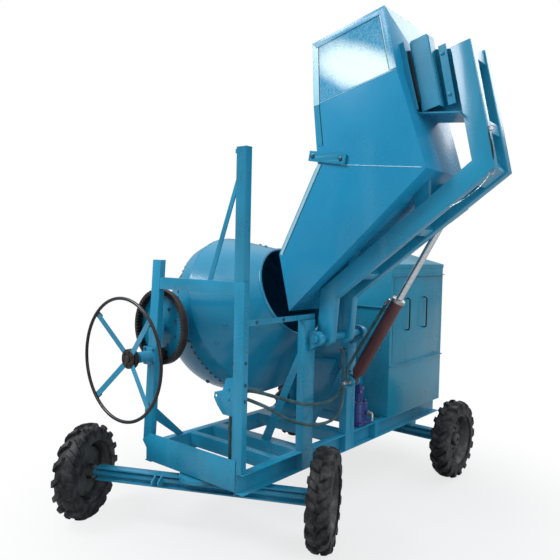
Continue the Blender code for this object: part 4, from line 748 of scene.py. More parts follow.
# ---------------------------------------------------------------- hoses
@dataclass
class Hoses:
    """The hydraulic hoses with their crimped ferrules and hexagon unions."""

    radius: float = 0.013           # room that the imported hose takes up
    slack: float = 0.93             # share of it that the round hose fills
    valve: tuple[Point, ...] = (
        (0.4183, 0.072, 1.13), (0.445, 0.072, 1.13), (0.50, 0.09, 1.138), (0.545, 0.16, 1.118),
        (0.575, 0.35, 1.05), (0.585, 0.58, 0.975), (0.585, 0.80, 0.94), (0.585, 0.97, 0.95),
        (0.582, 1.07, 1.01), (0.578, 1.10, 1.10), (0.57, 1.10, 1.20), (0.55, 1.13, 1.275),
        (0.51, 1.18, 1.30), (0.485, 1.22, 1.30), (0.485, 1.2497, 1.30))
    lift: tuple[Point, ...] = (
        (0.4183, 0.072, 1.085), (0.445, 0.072, 1.085), (0.52, 0.11, 1.06), (0.565, 0.20, 1.01),
        (0.585, 0.40, 0.895), (0.60, 0.62, 0.815), (0.612, 0.84, 0.79), (0.62, 0.97, 0.825),
        (0.62, 1.03, 0.90), (0.62, 1.04, 0.99), (0.62, 1.050, 1.04), (0.62, 1.070, 1.06),
        (0.62, 1.085, 1.06), (0.62, 1.0997, 1.06))
    pipe: tuple[Point, ...] = (
        (0.345, 0.062, 1.0297), (0.345, 0.062, 0.99), (0.325, 0.075, 0.93), (0.305, 0.09, 0.85),
        (0.293, 0.103, 0.75), (0.29, 0.108, 0.66), (0.29, 0.11, 0.60), (0.29, 0.11, 0.56),
        (0.29, 0.11, 0.5315))
    barrel: tuple[Point, ...] = (      # along the cylinder, out from it on its upper side, Y
        (0.0, 0.0, 1.10), (0.0, 0.0, 1.11), (0.008, 0.012, 1.122), (0.03, 0.04, 1.128), (0.07, 0.072, 1.138),
        (0.14, 0.088, 1.165), (0.25, 0.095, 1.187), (0.50, 0.085, 1.187), (0.66, 0.078, 1.187),
        (0.72, 0.072, 1.187), (0.745, 0.0656, 1.187))

    def along_barrel(self) -> Array:
        """Route of the hose that the cylinder carries, in the design frame."""
        run = unit(CYLINDER_EYE - CYLINDER_BASE)
        upper = np.array((-run[2], 0.0, run[0]))
        steps = np.array(self.barrel)
        route = CYLINDER_BASE + steps[:, :1] * run + steps[:, 1:2] * upper
        route[:, 1] = steps[:, 2]
        return route

    def build(self) -> None:
        """Makes each hose as a smooth tube through its route."""
        for name, route, body in (("valve_hose", self.valve, "chassis"), ("lift_hose", self.lift, "chassis"),
                                  ("valve_pipe", self.pipe, "chassis"),
                                  ("barrel_hose", self.along_barrel(), "cylinder")):
            self.hose(name, np.array(route), body)

    def hose(self, name: str, route: Array, body: str) -> None:
        """One hose with a ferrule and a union at each end.

        Args:
            name: The CAD node that it stands for.
            route: Points of its middle line.
            body: Body that it rides on.
        """
        path = flowing(route)
        Skin(name + "_line").tube(path, self.radius * self.slack, 18).done(body, Finish.HOSE, name)
        LOG.info("%s is %.3f m long", name, path_length(path))
        ends = Skin(name + "_ends")
        r = self.radius
        for tip, inward in ((path[0], unit(path[3] - path[0])), (path[-1], unit(path[-4] - path[-1]))):
            ends.lathe([(0.0, 0), (0.0, r * 0.95), (0.003, r), (0.028, r), (0.03, r * 0.8), (0.03, 0)], tip, inward, 6)
            ends.lathe([(0.026, 0), (0.026, r), (0.034, r * 1.12), (0.040, r * 1.02), (0.046, r * 1.12),
                        (0.052, r * 1.02), (0.058, r * 1.1), (0.062, r * 0.9), (0.062, 0)], tip, inward, 18)
        ends.done(body, Finish.BARE)


# ---------------------------------------------------------------- wheels
@dataclass
class Wheels:
    """Four tractor tyres on pressed black rims."""

    radius: float = 0.3615
    half: float = 0.0825            # half of its width
    rim_radius: float = 0.23
    height: float = 0.365 * math.cos(math.radians(7.5))     # of the axles
    track: float = 0.935            # from the middle of an axle to a wheel
    stud_circle: float = 0.096
    boss_circle: float = 0.160
    lugs: int = 17
    lug_height: float = 0.026
    drop: float = 0.098             # fall of the carcass from its crown to its beads
    slope: float = 0.26             # turn of a lug from the crown to the shoulder
    lug_width: float = 0.20         # half of a lug at the crown, in pitches
    flank: float = 0.035            # width of its sloping sides, in pitches
    steer: float = math.radians(25.8)
    front: tuple[float, float] = (0.0, 0.092)       # X and Y of the kingpin
    rear_y: float = 2.476

    def places(self) -> dict[str, tuple[Array, Array]]:
        """Centre and outward direction of each wheel."""
        out = np.array((math.cos(self.steer), math.sin(self.steer), 0.0))
        kingpin = np.array((*self.front, self.height))
        rear = np.array((0.0, self.rear_y, self.height))
        return {"front_right": (kingpin + self.track * out, out), "front_left": (kingpin - self.track * out, -out),
                "rear_right": (rear + self.track * X_AXIS, X_AXIS), "rear_left": (rear - self.track * X_AXIS, -X_AXIS)}

    def build(self) -> None:
        """Makes the tyres and rims."""
        for name, (centre, out) in self.places().items():
            self.tyre(name, centre, out)
            self.rim(name, centre, out)

    def tyre(self, name: str, centre: Array, out: Array) -> None:
        """One tyre as a height field round its axle.

        With u from -1 to 1 across and v round, the carcass has along = half w(u) and
        radius = R - lug_height - drop |u|^3.4, and closes through the beads. Each lug stands by
        lug_height where the distance of v + slope |u| from the nearest lug's middle is under its
        half width; the lugs of one side sit half a pitch behind those of the other.
        """
        u = np.linspace(-1, 1, 41)[:, None]
        v = full_turn(480)[None, :]
        side, ones = np.abs(u), np.ones_like(v)
        along = self.half * np.sin(u * math.pi / 2) * ones
        body = self.radius - self.lug_height - self.drop * side ** 3.4
        pitch = 2 * math.pi / self.lugs
        phase = (v + self.slope * side + np.where(u > 0, pitch / 2, 0.0)) / pitch
        off = np.abs((phase + 0.5) % 1.0 - 0.5)
        wide = self.lug_width + 0.05 * side
        raised = np.clip((wide - off) / self.flank, 0, 1)
        raised = raised * raised * (3 - 2 * raised)
        centred = np.clip((side - 0.02) / 0.05, 0, 1)
        shoulder = np.clip((0.93 - side) / 0.10, 0, 1)
        lug = self.lug_height * raised * centred * (0.25 + 0.75 * shoulder) * (side < 0.985)
        radius = body + lug
        along = along + np.sign(u) * lug * 0.30 * (side > 0.6)
        along = np.clip(along, -self.half, self.half)
        # the well inside the rim, and then the two beads
        inner_along = np.array((0.060, 0.050, 0.0, -0.050, -0.060))[:, None]
        inner_radius = np.array((self.rim_radius - 0.002, self.rim_radius - 0.012, self.rim_radius - 0.014,
                                 self.rim_radius - 0.012, self.rim_radius - 0.002))[:, None]
        bead = np.array((0.079, 0.070))[:, None]
        bead_radius = np.array((0.247, 0.236))[:, None]
        along = np.concatenate((along, bead * ones, inner_along * ones, -bead[::-1] * ones, along[:1]))
        radius = np.concatenate((radius, bead_radius * ones, inner_radius * ones, bead_radius[::-1] * ones, radius[:1]))
        first, second = across(out)
        points = centre + along[..., None] * out + radius[..., None] * around(first, second, v)
        Skin(name + "_tyre_tread").grid(points).done(name + "_wheel", Finish.RUBBER, name + "_tyre")

    def rim(self, name: str, centre: Array, out: Array) -> None:
        """One rim: rolled edges, well, dished disc with a raised ring, hub, studs and dust cap."""
        edge = self.rim_radius
        rim = Skin(name + "_rim_disc")
        rim.lathe([(-0.066, edge + 0.004), (-0.068, edge - 0.004), (-0.060, edge - 0.010), (-0.044, 0.205),
                   (-0.010, 0.196), (0.004, 0.19), (0.008, 0.155), (0.000, 0.135), (-0.004, 0.105), (0.010, 0.088),
                   (0.012, 0.062), (0.034, 0.060), (0.048, 0.052), (0.052, 0.030), (0.052, 0.0)], centre, out, 72)
        rim.lathe([(0.052, 0.0), (0.052, 0.004), (-0.07, 0.004), (-0.07, 0.05), (-0.03, 0.06), (-0.012, 0.10),
                   (-0.016, 0.14), (-0.012, 0.185), (0.036, 0.205), (0.058, edge - 0.012), (0.067, edge - 0.006),
                   (0.068, edge + 0.002), (0.064, edge + 0.004), (0.056, edge - 0.006), (0.034, 0.212),
                   (-0.040, 0.212), (-0.058, edge - 0.006), (-0.066, edge + 0.004)], centre, out, 72)
        ring = fan(*across(out), 8, 0.2)
        rim.bolts(centre + ring * self.stud_circle + out * 0.002, out, 0.011)
        for spot in centre + ring * self.boss_circle + out * 0.0045:
            rim.lathe([(-0.004, 0), (-0.004, 0.021), (0.004, 0.021), (0.006, 0.018), (0.001, 0.013), (-0.003, 0)],
                      spot, out, 16)
        rim.done(name + "_wheel", Finish.BLACK, name + "_rim")


# ---------------------------------------------------------------- drum
@dataclass
class Drum:
    """Bowl, cone with its rolled mouth, blades, bolts and girth gear."""

    tilt: float = 0.413             # of its axis, up from level
    belly: float = 0.69             # radius of the widest part
    mouth: float = 0.37             # radius of the mouth
    mouth_at: float = 0.712         # its distance along the axis
    belly_end: float = 0.22         # where the cone begins
    flange: float = 0.0953          # where bowl and cone are bolted together
    flange_width: float = 0.045
    depth: float = 0.585            # of the bowl
    floor: float = 0.17             # radius of the bowl's flat end
    sheet: float = 0.005
    teeth: int = 80
    facets: int = 120

    @property
    def neck(self) -> float:
        """Radius at which the bowl's wall meets its flange."""
        return self.belly - self.flange_width

    def axis(self) -> Array:
        """Direction from the closed end to the mouth."""
        return np.array((math.cos(self.tilt), 0.0, math.sin(self.tilt)))

    def normal(self) -> Array:
        """Upper side of the drum, square to its axis."""
        return np.array((-math.sin(self.tilt), 0.0, math.cos(self.tilt)))

    def wall(self, inset: float, count: int = 30) -> list[tuple[float, float]]:
        """The bowl's wall: along = flange - (depth - inset) sin v, radius = floor + reach cos v - inset."""
        v = np.linspace(math.pi / 2, 0, count)
        along = self.flange - 0.0003 - (self.depth - inset) * np.sin(v)
        radius = self.floor + (self.neck - self.floor) * np.cos(v) - inset
        return list(zip(along, radius))

    def build(self) -> None:
        """Makes the bowl, cone, bolts and gear."""
        axis, start, face = self.axis(), TRUNNION, self.flange - 0.0003
        outer, inner = self.wall(0.0), self.wall(self.sheet)
        bowl = Skin("drum_bowl_shell")
        bowl.lathe([(-0.735, 0.0), (-0.735, 0.034), (outer[0][0] - 0.035, 0.034), (outer[0][0] - 0.035, 0.08),
                    (outer[0][0], 0.10)] + outer[:-1]
                   + [(face - 0.008, self.neck), (face - 0.008, self.belly - 0.001),
                      (face - 0.007, self.belly), (face - 0.001, self.belly), (face, self.belly - 0.001)]
                   + inner[::-1] + [(inner[0][0], 0.0)],
                   start, axis, self.facets)
        bowl.done("drum", Finish.DRUM, "drum_bowl")
        self.cone(start, axis)
        self.bolts(start, axis)
        self.gear(start, axis, face - 0.0083)

    def cone(self, start: Array, axis: Array) -> None:
        """The cylindrical belly, the cone, the rolled mouth and three blades inside."""
        lip = 0.012
        roll = arc((self.mouth_at, self.mouth + 0.003), 0.0125, 215, 505, 16)
        cone = Skin("drum_cone_shell")
        cone.lathe([(self.flange, self.neck), (self.flange, self.belly - 0.001),
                    (self.flange + 0.001, self.belly), (self.flange + 0.010, self.belly),
                    (self.belly_end - 0.012, self.belly),
                    (self.belly_end, self.belly - 0.002), (self.belly_end + 0.012, self.belly - 0.009)]
                   + roll[::-1]
                   + [(self.mouth_at - lip, self.mouth - 0.004), (self.belly_end - 0.002, self.belly - 0.008),
                      (self.flange + 0.008, self.belly - 0.008), (self.flange + 0.008, self.neck),
                      (self.flange, self.neck)], start, axis, self.facets)
        slope = (self.belly - self.mouth - 0.001) / (self.mouth_at - lip - self.belly_end + 0.002)
        wall, far = self.belly - 0.004, self.belly_end + 0.26
        outline = [(self.flange + 0.02, wall - 0.13), (far - 0.04, wall - slope * 0.26 - 0.085),
                   (far, wall - slope * (far - self.belly_end) - 0.002), (self.belly_end, wall),
                   (self.flange + 0.02, wall)]
        for angle in np.radians((90.0, 210.0, 330.0)):
            out = self.outward(angle)
            cone.prism(outline, start - 0.004 * np.cross(axis, out), axis, out, 0.008 * np.cross(axis, out))
        cone.done("drum", Finish.DRUM, "drum_cone")

    def outward(self, angle: float) -> Array:
        """Direction away from the axis, at an angle from +Y towards the upper side."""
        return Y_AXIS * math.cos(angle) + self.normal() * math.sin(angle)

    def bolts(self, start: Array, axis: Array) -> None:
        """Flange bolts, the painted bolts of the blades and the bowl, and the belly's weld."""
        trim = Skin("drum_bolts")
        trim.bolts(start + axis * (self.flange + 0.0085) + fan(Y_AXIS, self.normal(), 20, 0.1) * (self.belly - 0.0225),
                   axis, 0.006)
        slope = (self.belly - self.mouth) / (self.mouth_at - self.belly_end)
        lean = unit(np.array((slope, 1.0)))
        for turn in (0.0, 120.0, 240.0):                                # one set for each blade
            for along, angle in ((0.40, 194.0), (0.30, 203.0), (0.58, 210.0)):
                out = self.outward(math.radians(angle + turn))
                spot = start + axis * along + out * (self.belly - slope * (along - self.belly_end))
                trim.bolts(spot, axis * lean[0] + out * lean[1], 0.013)
            height = (self.flange + 0.17) / self.depth
            reach = self.floor + (self.neck - self.floor) * math.sqrt(1 - height * height)
            out = self.outward(math.radians(113.0 + turn))
            trim.bolts(start - axis * 0.17 + out * reach, unit(out * 0.75 - axis * 0.6), 0.013)
        trim.done("drum", Finish.DRUM)
        ring = around(Y_AXIS, self.normal(), full_turn(180))
        seam = start + axis * self.belly_end + ring * (self.belly - 0.003)
        Skin("drum_welds").weld(seam, 0.0045, 0.012).done("drum", Finish.DRUM)

    def gear(self, start: Array, axis: Array, front: float) -> None:
        """Girth gear: a ring with straight-flanked teeth on its back face."""
        inner, outer = 0.648, 0.684
        turn, reach = teeth(self.teeth, 0.26, 0.13, 0.083, 0.0585)
        out = around(Y_AXIS, self.normal(), turn)
        rows = [start + out * radius + along[:, None] * axis for radius, along in (
            (inner, reach), (outer - 0.002, reach), (outer, reach + 0.002), (outer, reach * 0 + front),
            (inner, reach * 0 + front), (inner, reach))]
        Skin("girth_gear_teeth").grid(np.stack(rows)).done("drum", Finish.GREASY, "drum_ring_gear")


# ---------------------------------------------------------------- tilting
@dataclass
class TiltGear:
    """Internal ring gear on the trunnion, and the hand wheel that turns it."""

    ring_y: float = 0.082           # near face of the ring gear
    ring_face: float = 0.053        # width of that face along Y
    outer: float = 0.298
    root: float = 0.2735
    tip: float = 0.2595
    teeth: int = 66
    rim: float = 0.455              # radius of the hand wheel
    tube: float = 0.0125            # radius of its rim's section
    rim_y: float = -0.266
    hub_y: float = -0.175
    hub_radius: float = 0.075

    def build(self) -> None:
        """Makes the ring gear, its bolts, and the hand wheel."""
        self.ring()
        self.web()
        self.hand_wheel()

    def ring(self) -> None:
        """Ring with straight-flanked teeth inside and a chamfered outer face."""
        toward = math.atan2(HAND_WHEEL[2] - TRUNNION[2], HAND_WHEEL[0] - TRUNNION[0])
        turn, reach = teeth(self.teeth, 0.30, 0.16, self.root, self.tip, toward + math.pi / self.teeth)
        y0, y1 = self.ring_y, self.ring_y + self.ring_face
        rows = [np.stack((TRUNNION[0] + radius * np.cos(turn), np.full_like(turn, y),
                          TRUNNION[2] + radius * np.sin(turn)), -1)
                for radius, y in ((reach, y0), (self.outer - 0.003, y0), (self.outer, y0 + 0.003),
                                  (self.outer, y1 - 0.002), (self.outer - 0.002, y1), (reach, y1), (reach, y0))]
        Skin("tilt_ring_teeth").grid(np.stack(rows)).done("tilt_cradle", Finish.GREASY, "tilt_ring_gear")

    def web(self) -> None:
        """Bolts round the web's boss."""
        face = self.ring_y + self.ring_face
        bolts = Skin("tilt_web_bolts")
        middle = np.array((TRUNNION[0], face, TRUNNION[2]))
        bolts.bolts(middle + 0.155 * fan(X_AXIS, Z_AXIS, 8, 0.35), -Y_AXIS, 0.011)
        bolts.done("tilt_cradle", Finish.BOLT)

    def hand_wheel(self) -> None:
        """Thin black ring, four flat blue spokes, bolted dark hub disc and nut."""
        middle = HAND_WHEEL
        ring, v = around(X_AXIS, Z_AXIS, full_turn(144)), full_turn(16)
        points = (middle + self.rim_y * Y_AXIS + ring[:, None] * (self.rim + self.tube * np.cos(v))[None, :, None]
                  + Y_AXIS * (self.tube * np.sin(v))[None, :, None])
        black = Skin("handwheel_ring").grid(points)
        spokes = Skin("handwheel_spokes")
        for angle in np.radians((45.0, 135.0, 225.0, 315.0)):
            out, side = around(X_AXIS, Z_AXIS, np.array((angle, angle + math.pi / 2)))
            spokes.bar(middle + out * 0.02 + Y_AXIS * (self.hub_y - 0.024),
                       middle + out * (self.rim - self.tube / 2) + Y_AXIS * (self.rim_y + 0.003), side, 0.046, 0.006)
            black.bar(middle + out * 0.405 + Y_AXIS * (self.rim_y + 0.016),
                      middle + out * (self.rim - 0.004) + Y_AXIS * (self.rim_y + 0.004), side, 0.052, 0.012)
        black.done("hand_wheel", Finish.BLACK, "handwheel_rim")
        spokes.lathe([(0, 0), (0, 0.055), (0.008, 0.055), (0.0095, 0.052), (0.0095, 0)],
                     middle + Y_AXIS * (self.hub_y - 0.030), Y_AXIS, 40)
        spokes.done("hand_wheel", Finish.BLUE, "handwheel_rim")
        hub = Skin("handwheel_hub_disc")
        wide, cut = self.hub_radius, self.hub_radius - 0.004
        hub.lathe([(0, 0), (0, cut), (0.004, wide), (0.030, wide), (0.034, cut), (0.034, 0)],
                  middle + Y_AXIS * (self.hub_y - 0.02), Y_AXIS, 48)
        hub.lathe([(0, 0), (0, cut), (0.003, wide - 0.001), (0.009, wide - 0.001), (0.009, 0)],
                  middle + Y_AXIS * (self.hub_y - 0.0395), Y_AXIS, 48)
        hub.lathe([(0, 0), (0, 0.024), (0.003, 0.028), (0.012, 0.028), (0.012, 0)],
                  middle + Y_AXIS * (self.hub_y - 0.050), Y_AXIS, 24)
        hub.bolts(middle + fan(X_AXIS, Z_AXIS, 6, 0.3) * 0.052 + Y_AXIS * (self.hub_y - 0.0392), -Y_AXIS, 0.009)
        hub.done("hand_wheel", Finish.GREASY, "handwheel_hub")


# ---------------------------------------------------------------- hopper
@dataclass
class HopperTrim:
    """Seams, edge strips, latch bolts, cradle, cable and eyes of the loading hopper."""

    # X and Z of points on the side walls
    crease: tuple[tuple[float, float], tuple[float, float]] = ((0.583, 3.15), (1.245, 3.295))
    heel: tuple[float, float] = (1.46, 2.645)
    rim_right: tuple[float, float] = (1.149, 3.700)
    shoulder: tuple[float, float] = (0.615, 2.73)
    chute_low: tuple[float, float] = (0.335, 1.635)
    chute_high: tuple[float, float] = (0.245, 2.07)
    middle_y: float = 0.95
    half_width: float = 0.34
    taper: float = 0.08             # what the half width loses from the crease to the chute's tip

    def half(self, x: float, z: float) -> float:
        """Half the bucket's width: even above the crease, tapering to the chute's tip."""
        low, high = np.array(self.crease)
        run = unit(high - low)
        down = np.array((run[1], -run[0]))
        depth = max(0.0, float((np.array((x, z)) - low) @ down))
        full = float((np.array(self.chute_low) - low) @ down)
        return self.half_width - self.taper * depth / full

    def on_side(self, x: float, z: float, sign: int = -1, out: float = 0.0) -> tuple[float, float, float]:
        """Point on a side wall, out from its sheet."""
        return (x, self.middle_y + sign * (self.half(x, z) + out), z)

    def build(self) -> None:
        """Makes the seams, edge strips with painted highlight and painted shadow lines, cradle, chute lips and latch
        bolts.
        """
        for sign, side in ((-1, "near"), (1, "far")):
            seam = Skin("hopper_seam_" + side)
            seam.weld([self.on_side(self.shoulder[0] + 0.20, 2.712, sign), self.on_side(1.16, 2.676, sign),
                       self.on_side(self.heel[0] - 0.03, self.heel[1] + 0.004, sign)], 0.0042, 0.010)
            seam.weld([self.on_side(*self.crease[0], sign), self.on_side(*self.crease[1], sign)], 0.0030, 0.012)
            # weld seams in the paler enamel: painted highlight
            seam.done("hopper", Finish.PALE)
            # edge strips, margin strips and, beside each, a thin black line that paints the shadow in the gap at the
            # strip's edge
            edge, lower, line = (Skin(f"hopper_{kind}_{side}") for kind in ("edge", "margin", "line"))
            low, high = self.crease
            strips = ((edge, (0.560, 3.588), low, 0.027, 0.048), (lower, low, (0.612, 2.860), 0.025, 0.044),
                      (edge, self.rim_right, high, -0.026, 0.046), (edge, self.shoulder, self.chute_high, 0.017, 0.030))
            for skin, start, end, shift, width in strips:
                beside = shift + math.copysign(width / 2 + 0.0025, shift)
                for piece, offset, wide, thick in ((skin, shift, width, 0.003), (line, beside, 0.0035, 0.004)):
                    piece.bar(self.on_side(start[0] + offset, start[1], sign, 0.0008),
                              self.on_side(end[0] + offset, end[1], sign, 0.0008), X_AXIS, wide, thick)
            lower.done("hopper", Finish.BLUE)
            # edge strips in the paler enamel: painted highlight
            edge.done("hopper", Finish.PALE)
            # black lines: painted shadow gaps
            line.done("hopper", Finish.BLACK)
        self.cradle()
        lips = Skin("chute_lips")
        for sign in (-1, 1):
            start = np.array(self.on_side(*self.shoulder, sign))
            end = np.array(self.on_side(*self.chute_high, sign))
            run = unit(end - start)
            lips.bar(start + run * 0.03 - Y_AXIS * sign * 0.012, end - run * 0.01 - Y_AXIS * sign * 0.012, Y_AXIS,
                     0.030, 0.005)
        lips.done("hopper", Finish.BLUE)
        latch = Skin("latch_bolts")
        face = self.middle_y - self.half(0.69, 2.78) - 0.014
        latch.bolts((0.578, face, 2.7913), -Y_AXIS, 0.013)
        latch.bolts((0.822, face, 2.7489), -Y_AXIS, 0.011)
        latch.done("hopper", Finish.BOLT)

    def cradle(self) -> None:
        """Channel, slotted plate and bottom cap between the bucket's back and the arm, with painted shade in the slots
        and in a gap, cable and eyes.
        """
        cradle, dark = Skin("cradle_channel"), Skin("cradle_shade_and_cable")

        def leaning(skin: Skin, top: tuple[float, float], foot: tuple[float, float], y: float, width: float,
                    deep: float) -> None:
            """Flat bar down the bucket's back, centred on y."""
            skin.bar((top[0], y, top[1]), (foot[0], y, foot[1]), X_AXIS, width, deep)

        leaning(cradle, (1.325, 3.520), (1.435, 3.045), 0.754, 0.120, 0.008)       # web
        leaning(cradle, (1.388, 3.525), (1.498, 3.050), 0.794, 0.008, 0.080)       # right flange
        leaning(cradle, (1.262, 3.500), (1.372, 3.025), 0.794, 0.008, 0.080)       # left flange
        leaning(cradle, (1.210, 3.500), (1.335, 3.040), 0.730, 0.038, 0.007)       # plate beside the bucket
        leaning(cradle, (1.190, 3.500), (1.315, 3.040), 0.780, 0.006, 0.100)
        leaning(cradle, (1.475, 3.450), (1.560, 3.060), 0.786, 0.052, 0.010)       # slotted plate
        leaning(cradle, (1.475, 3.450), (1.560, 3.060), 0.810, 0.030, 0.050)
        cradle.prism([(1.330, 3.022), (1.620, 2.990), (1.620, 3.000), (1.330, 3.032)], 0.750 * Y_AXIS, X_AXIS, Z_AXIS,
                     0.330 * Y_AXIS)                                                # bottom cap
        # black slots on the slotted plate: painted shade in their openings
        for z0, z1 in ((3.440, 3.325), (3.300, 3.185), (3.160, 3.075)):
            middle, run = 1.545 + (3.45 - (z0 + z1) / 2) * 0.22, (z0 - z1) * 0.11
            leaning(dark, (middle - run, z0), (middle + run, z1), 0.8262, 0.058, 0.003)
        # black strip between the side plate and the channel: a painted shadow gap
        leaning(dark, (1.262, 3.44), (1.352, 3.09), 0.742, 0.018, 0.004)
        cradle.bolts([(1.482, 0.7812, 3.395), (1.542, 0.7812, 3.125)], -Y_AXIS, 0.011)
        cradle.done("hopper", Finish.BLUE)
        dark.tube(flowing([(1.789, 0.815, 2.862), (1.812, 0.806, 2.800), (1.826, 0.806, 2.720), (1.822, 0.812, 2.640)]),
                  0.006, 10)
        dark.done("hopper", Finish.BLACK)
        eyes = Skin("arm_eyes")
        for x, z in ((1.792, 2.886), (1.8050, 2.612)):
            eyes.lathe([(-0.030, 0), (-0.030, 0.007), (0.0, 0.007), (0.004, 0.014), (0.010, 0.014), (0.010, 0)],
                       (x - 0.012, 0.820, z), X_AXIS, 12)
            eyes.tube((x + 0.014, 0.820, z) + 0.016 * around(X_AXIS, Z_AXIS, full_turn(24)), 0.0045, 8)
        eyes.tube(flowing([(1.815, 0.797, 2.600), (1.790, 0.796, 2.560), (1.730, 0.7965, 2.500), (1.640, 0.7965, 2.440),
                           (1.560, 0.797, 2.400)]), 0.0020, 8)
        eyes.done("hopper", Finish.BARE)


@dataclass
class Cylinder:
    """Lifting cylinder: red barrel, bright gland and chromed rod with its eye."""

    radius: float = 0.05
    gland: float = 0.765            # where the gland begins
    length: float = 0.79            # from the pin to the gland's end
    rod: float = 0.026              # radius of the rod

    def build(self) -> None:
        """Makes the barrel, gland and rod."""
        axis = unit(CYLINDER_EYE - CYLINDER_BASE)
        r = self.radius
        barrel = Skin("cylinder_barrel_tube")
        barrel.lathe([(0.02, 0.0), (0.02, 0.024), (0.048, 0.026), (0.060, 0.032), (0.086, r - 0.002), (0.090, r),
                      (self.gland - 0.03, r), (self.gland - 0.027, r + 0.0015), (self.gland - 0.004, r + 0.0015),
                      (self.gland, r), (self.gland, 0.040), (0.092, 0.040), (0.092, 0.0)], CYLINDER_BASE, axis, 56)
        barrel.lathe([(-0.028, 0.0152), (-0.028, 0.030), (-0.026, 0.032), (0.026, 0.032), (0.028, 0.030),
                      (0.028, 0.0152), (-0.028, 0.0152)], CYLINDER_BASE, Y_AXIS, 40)
        barrel.done("cylinder", Finish.PRIMER, "cylinder_barrel")
        gland = Skin("cylinder_gland_ring")
        gland.lathe([(self.gland - 0.04, self.rod + 0.0005), (self.gland - 0.04, 0.0395), (self.gland + 0.0005, 0.0395),
                     (self.gland + 0.0005, r + 0.003), (self.gland + 0.002, r + 0.004), (self.gland + 0.010, r + 0.004),
                     (self.gland + 0.011, r + 0.002), (self.gland + 0.014, r + 0.002), (self.gland + 0.015, r + 0.004),
                     (self.length - 0.002, r + 0.004), (self.length, r + 0.002), (self.length, self.rod + 0.004),
                     (self.length - 0.003, self.rod + 0.0005), (self.gland - 0.04, self.rod + 0.0005)],
                    CYLINDER_BASE, axis, 48)
        gland.done("cylinder", Finish.BARE, "cylinder_gland")
        rod = Skin("cylinder_rod_bar")
        reach = float(np.linalg.norm(CYLINDER_EYE - CYLINDER_BASE))
        rod.lathe([(0.645, 0.0), (0.645, 0.037), (0.647, 0.039), (0.683, 0.039), (0.685, 0.037), (0.685, self.rod),
                   (reach - 0.025, self.rod), (reach - 0.025, 0.0)], CYLINDER_BASE, axis, 40)
        rod.lathe([(-0.020, 0.0), (-0.020, 0.037), (-0.017, 0.040), (0.024, 0.040), (0.027, 0.037), (0.027, 0.0)],
                  CYLINDER_EYE, Y_AXIS, 40)
        rod.bolts(CYLINDER_EYE - Y_AXIS * 0.019, -Y_AXIS, 0.018)
        rod.done("rod", Finish.CHROME, "cylinder_rod")


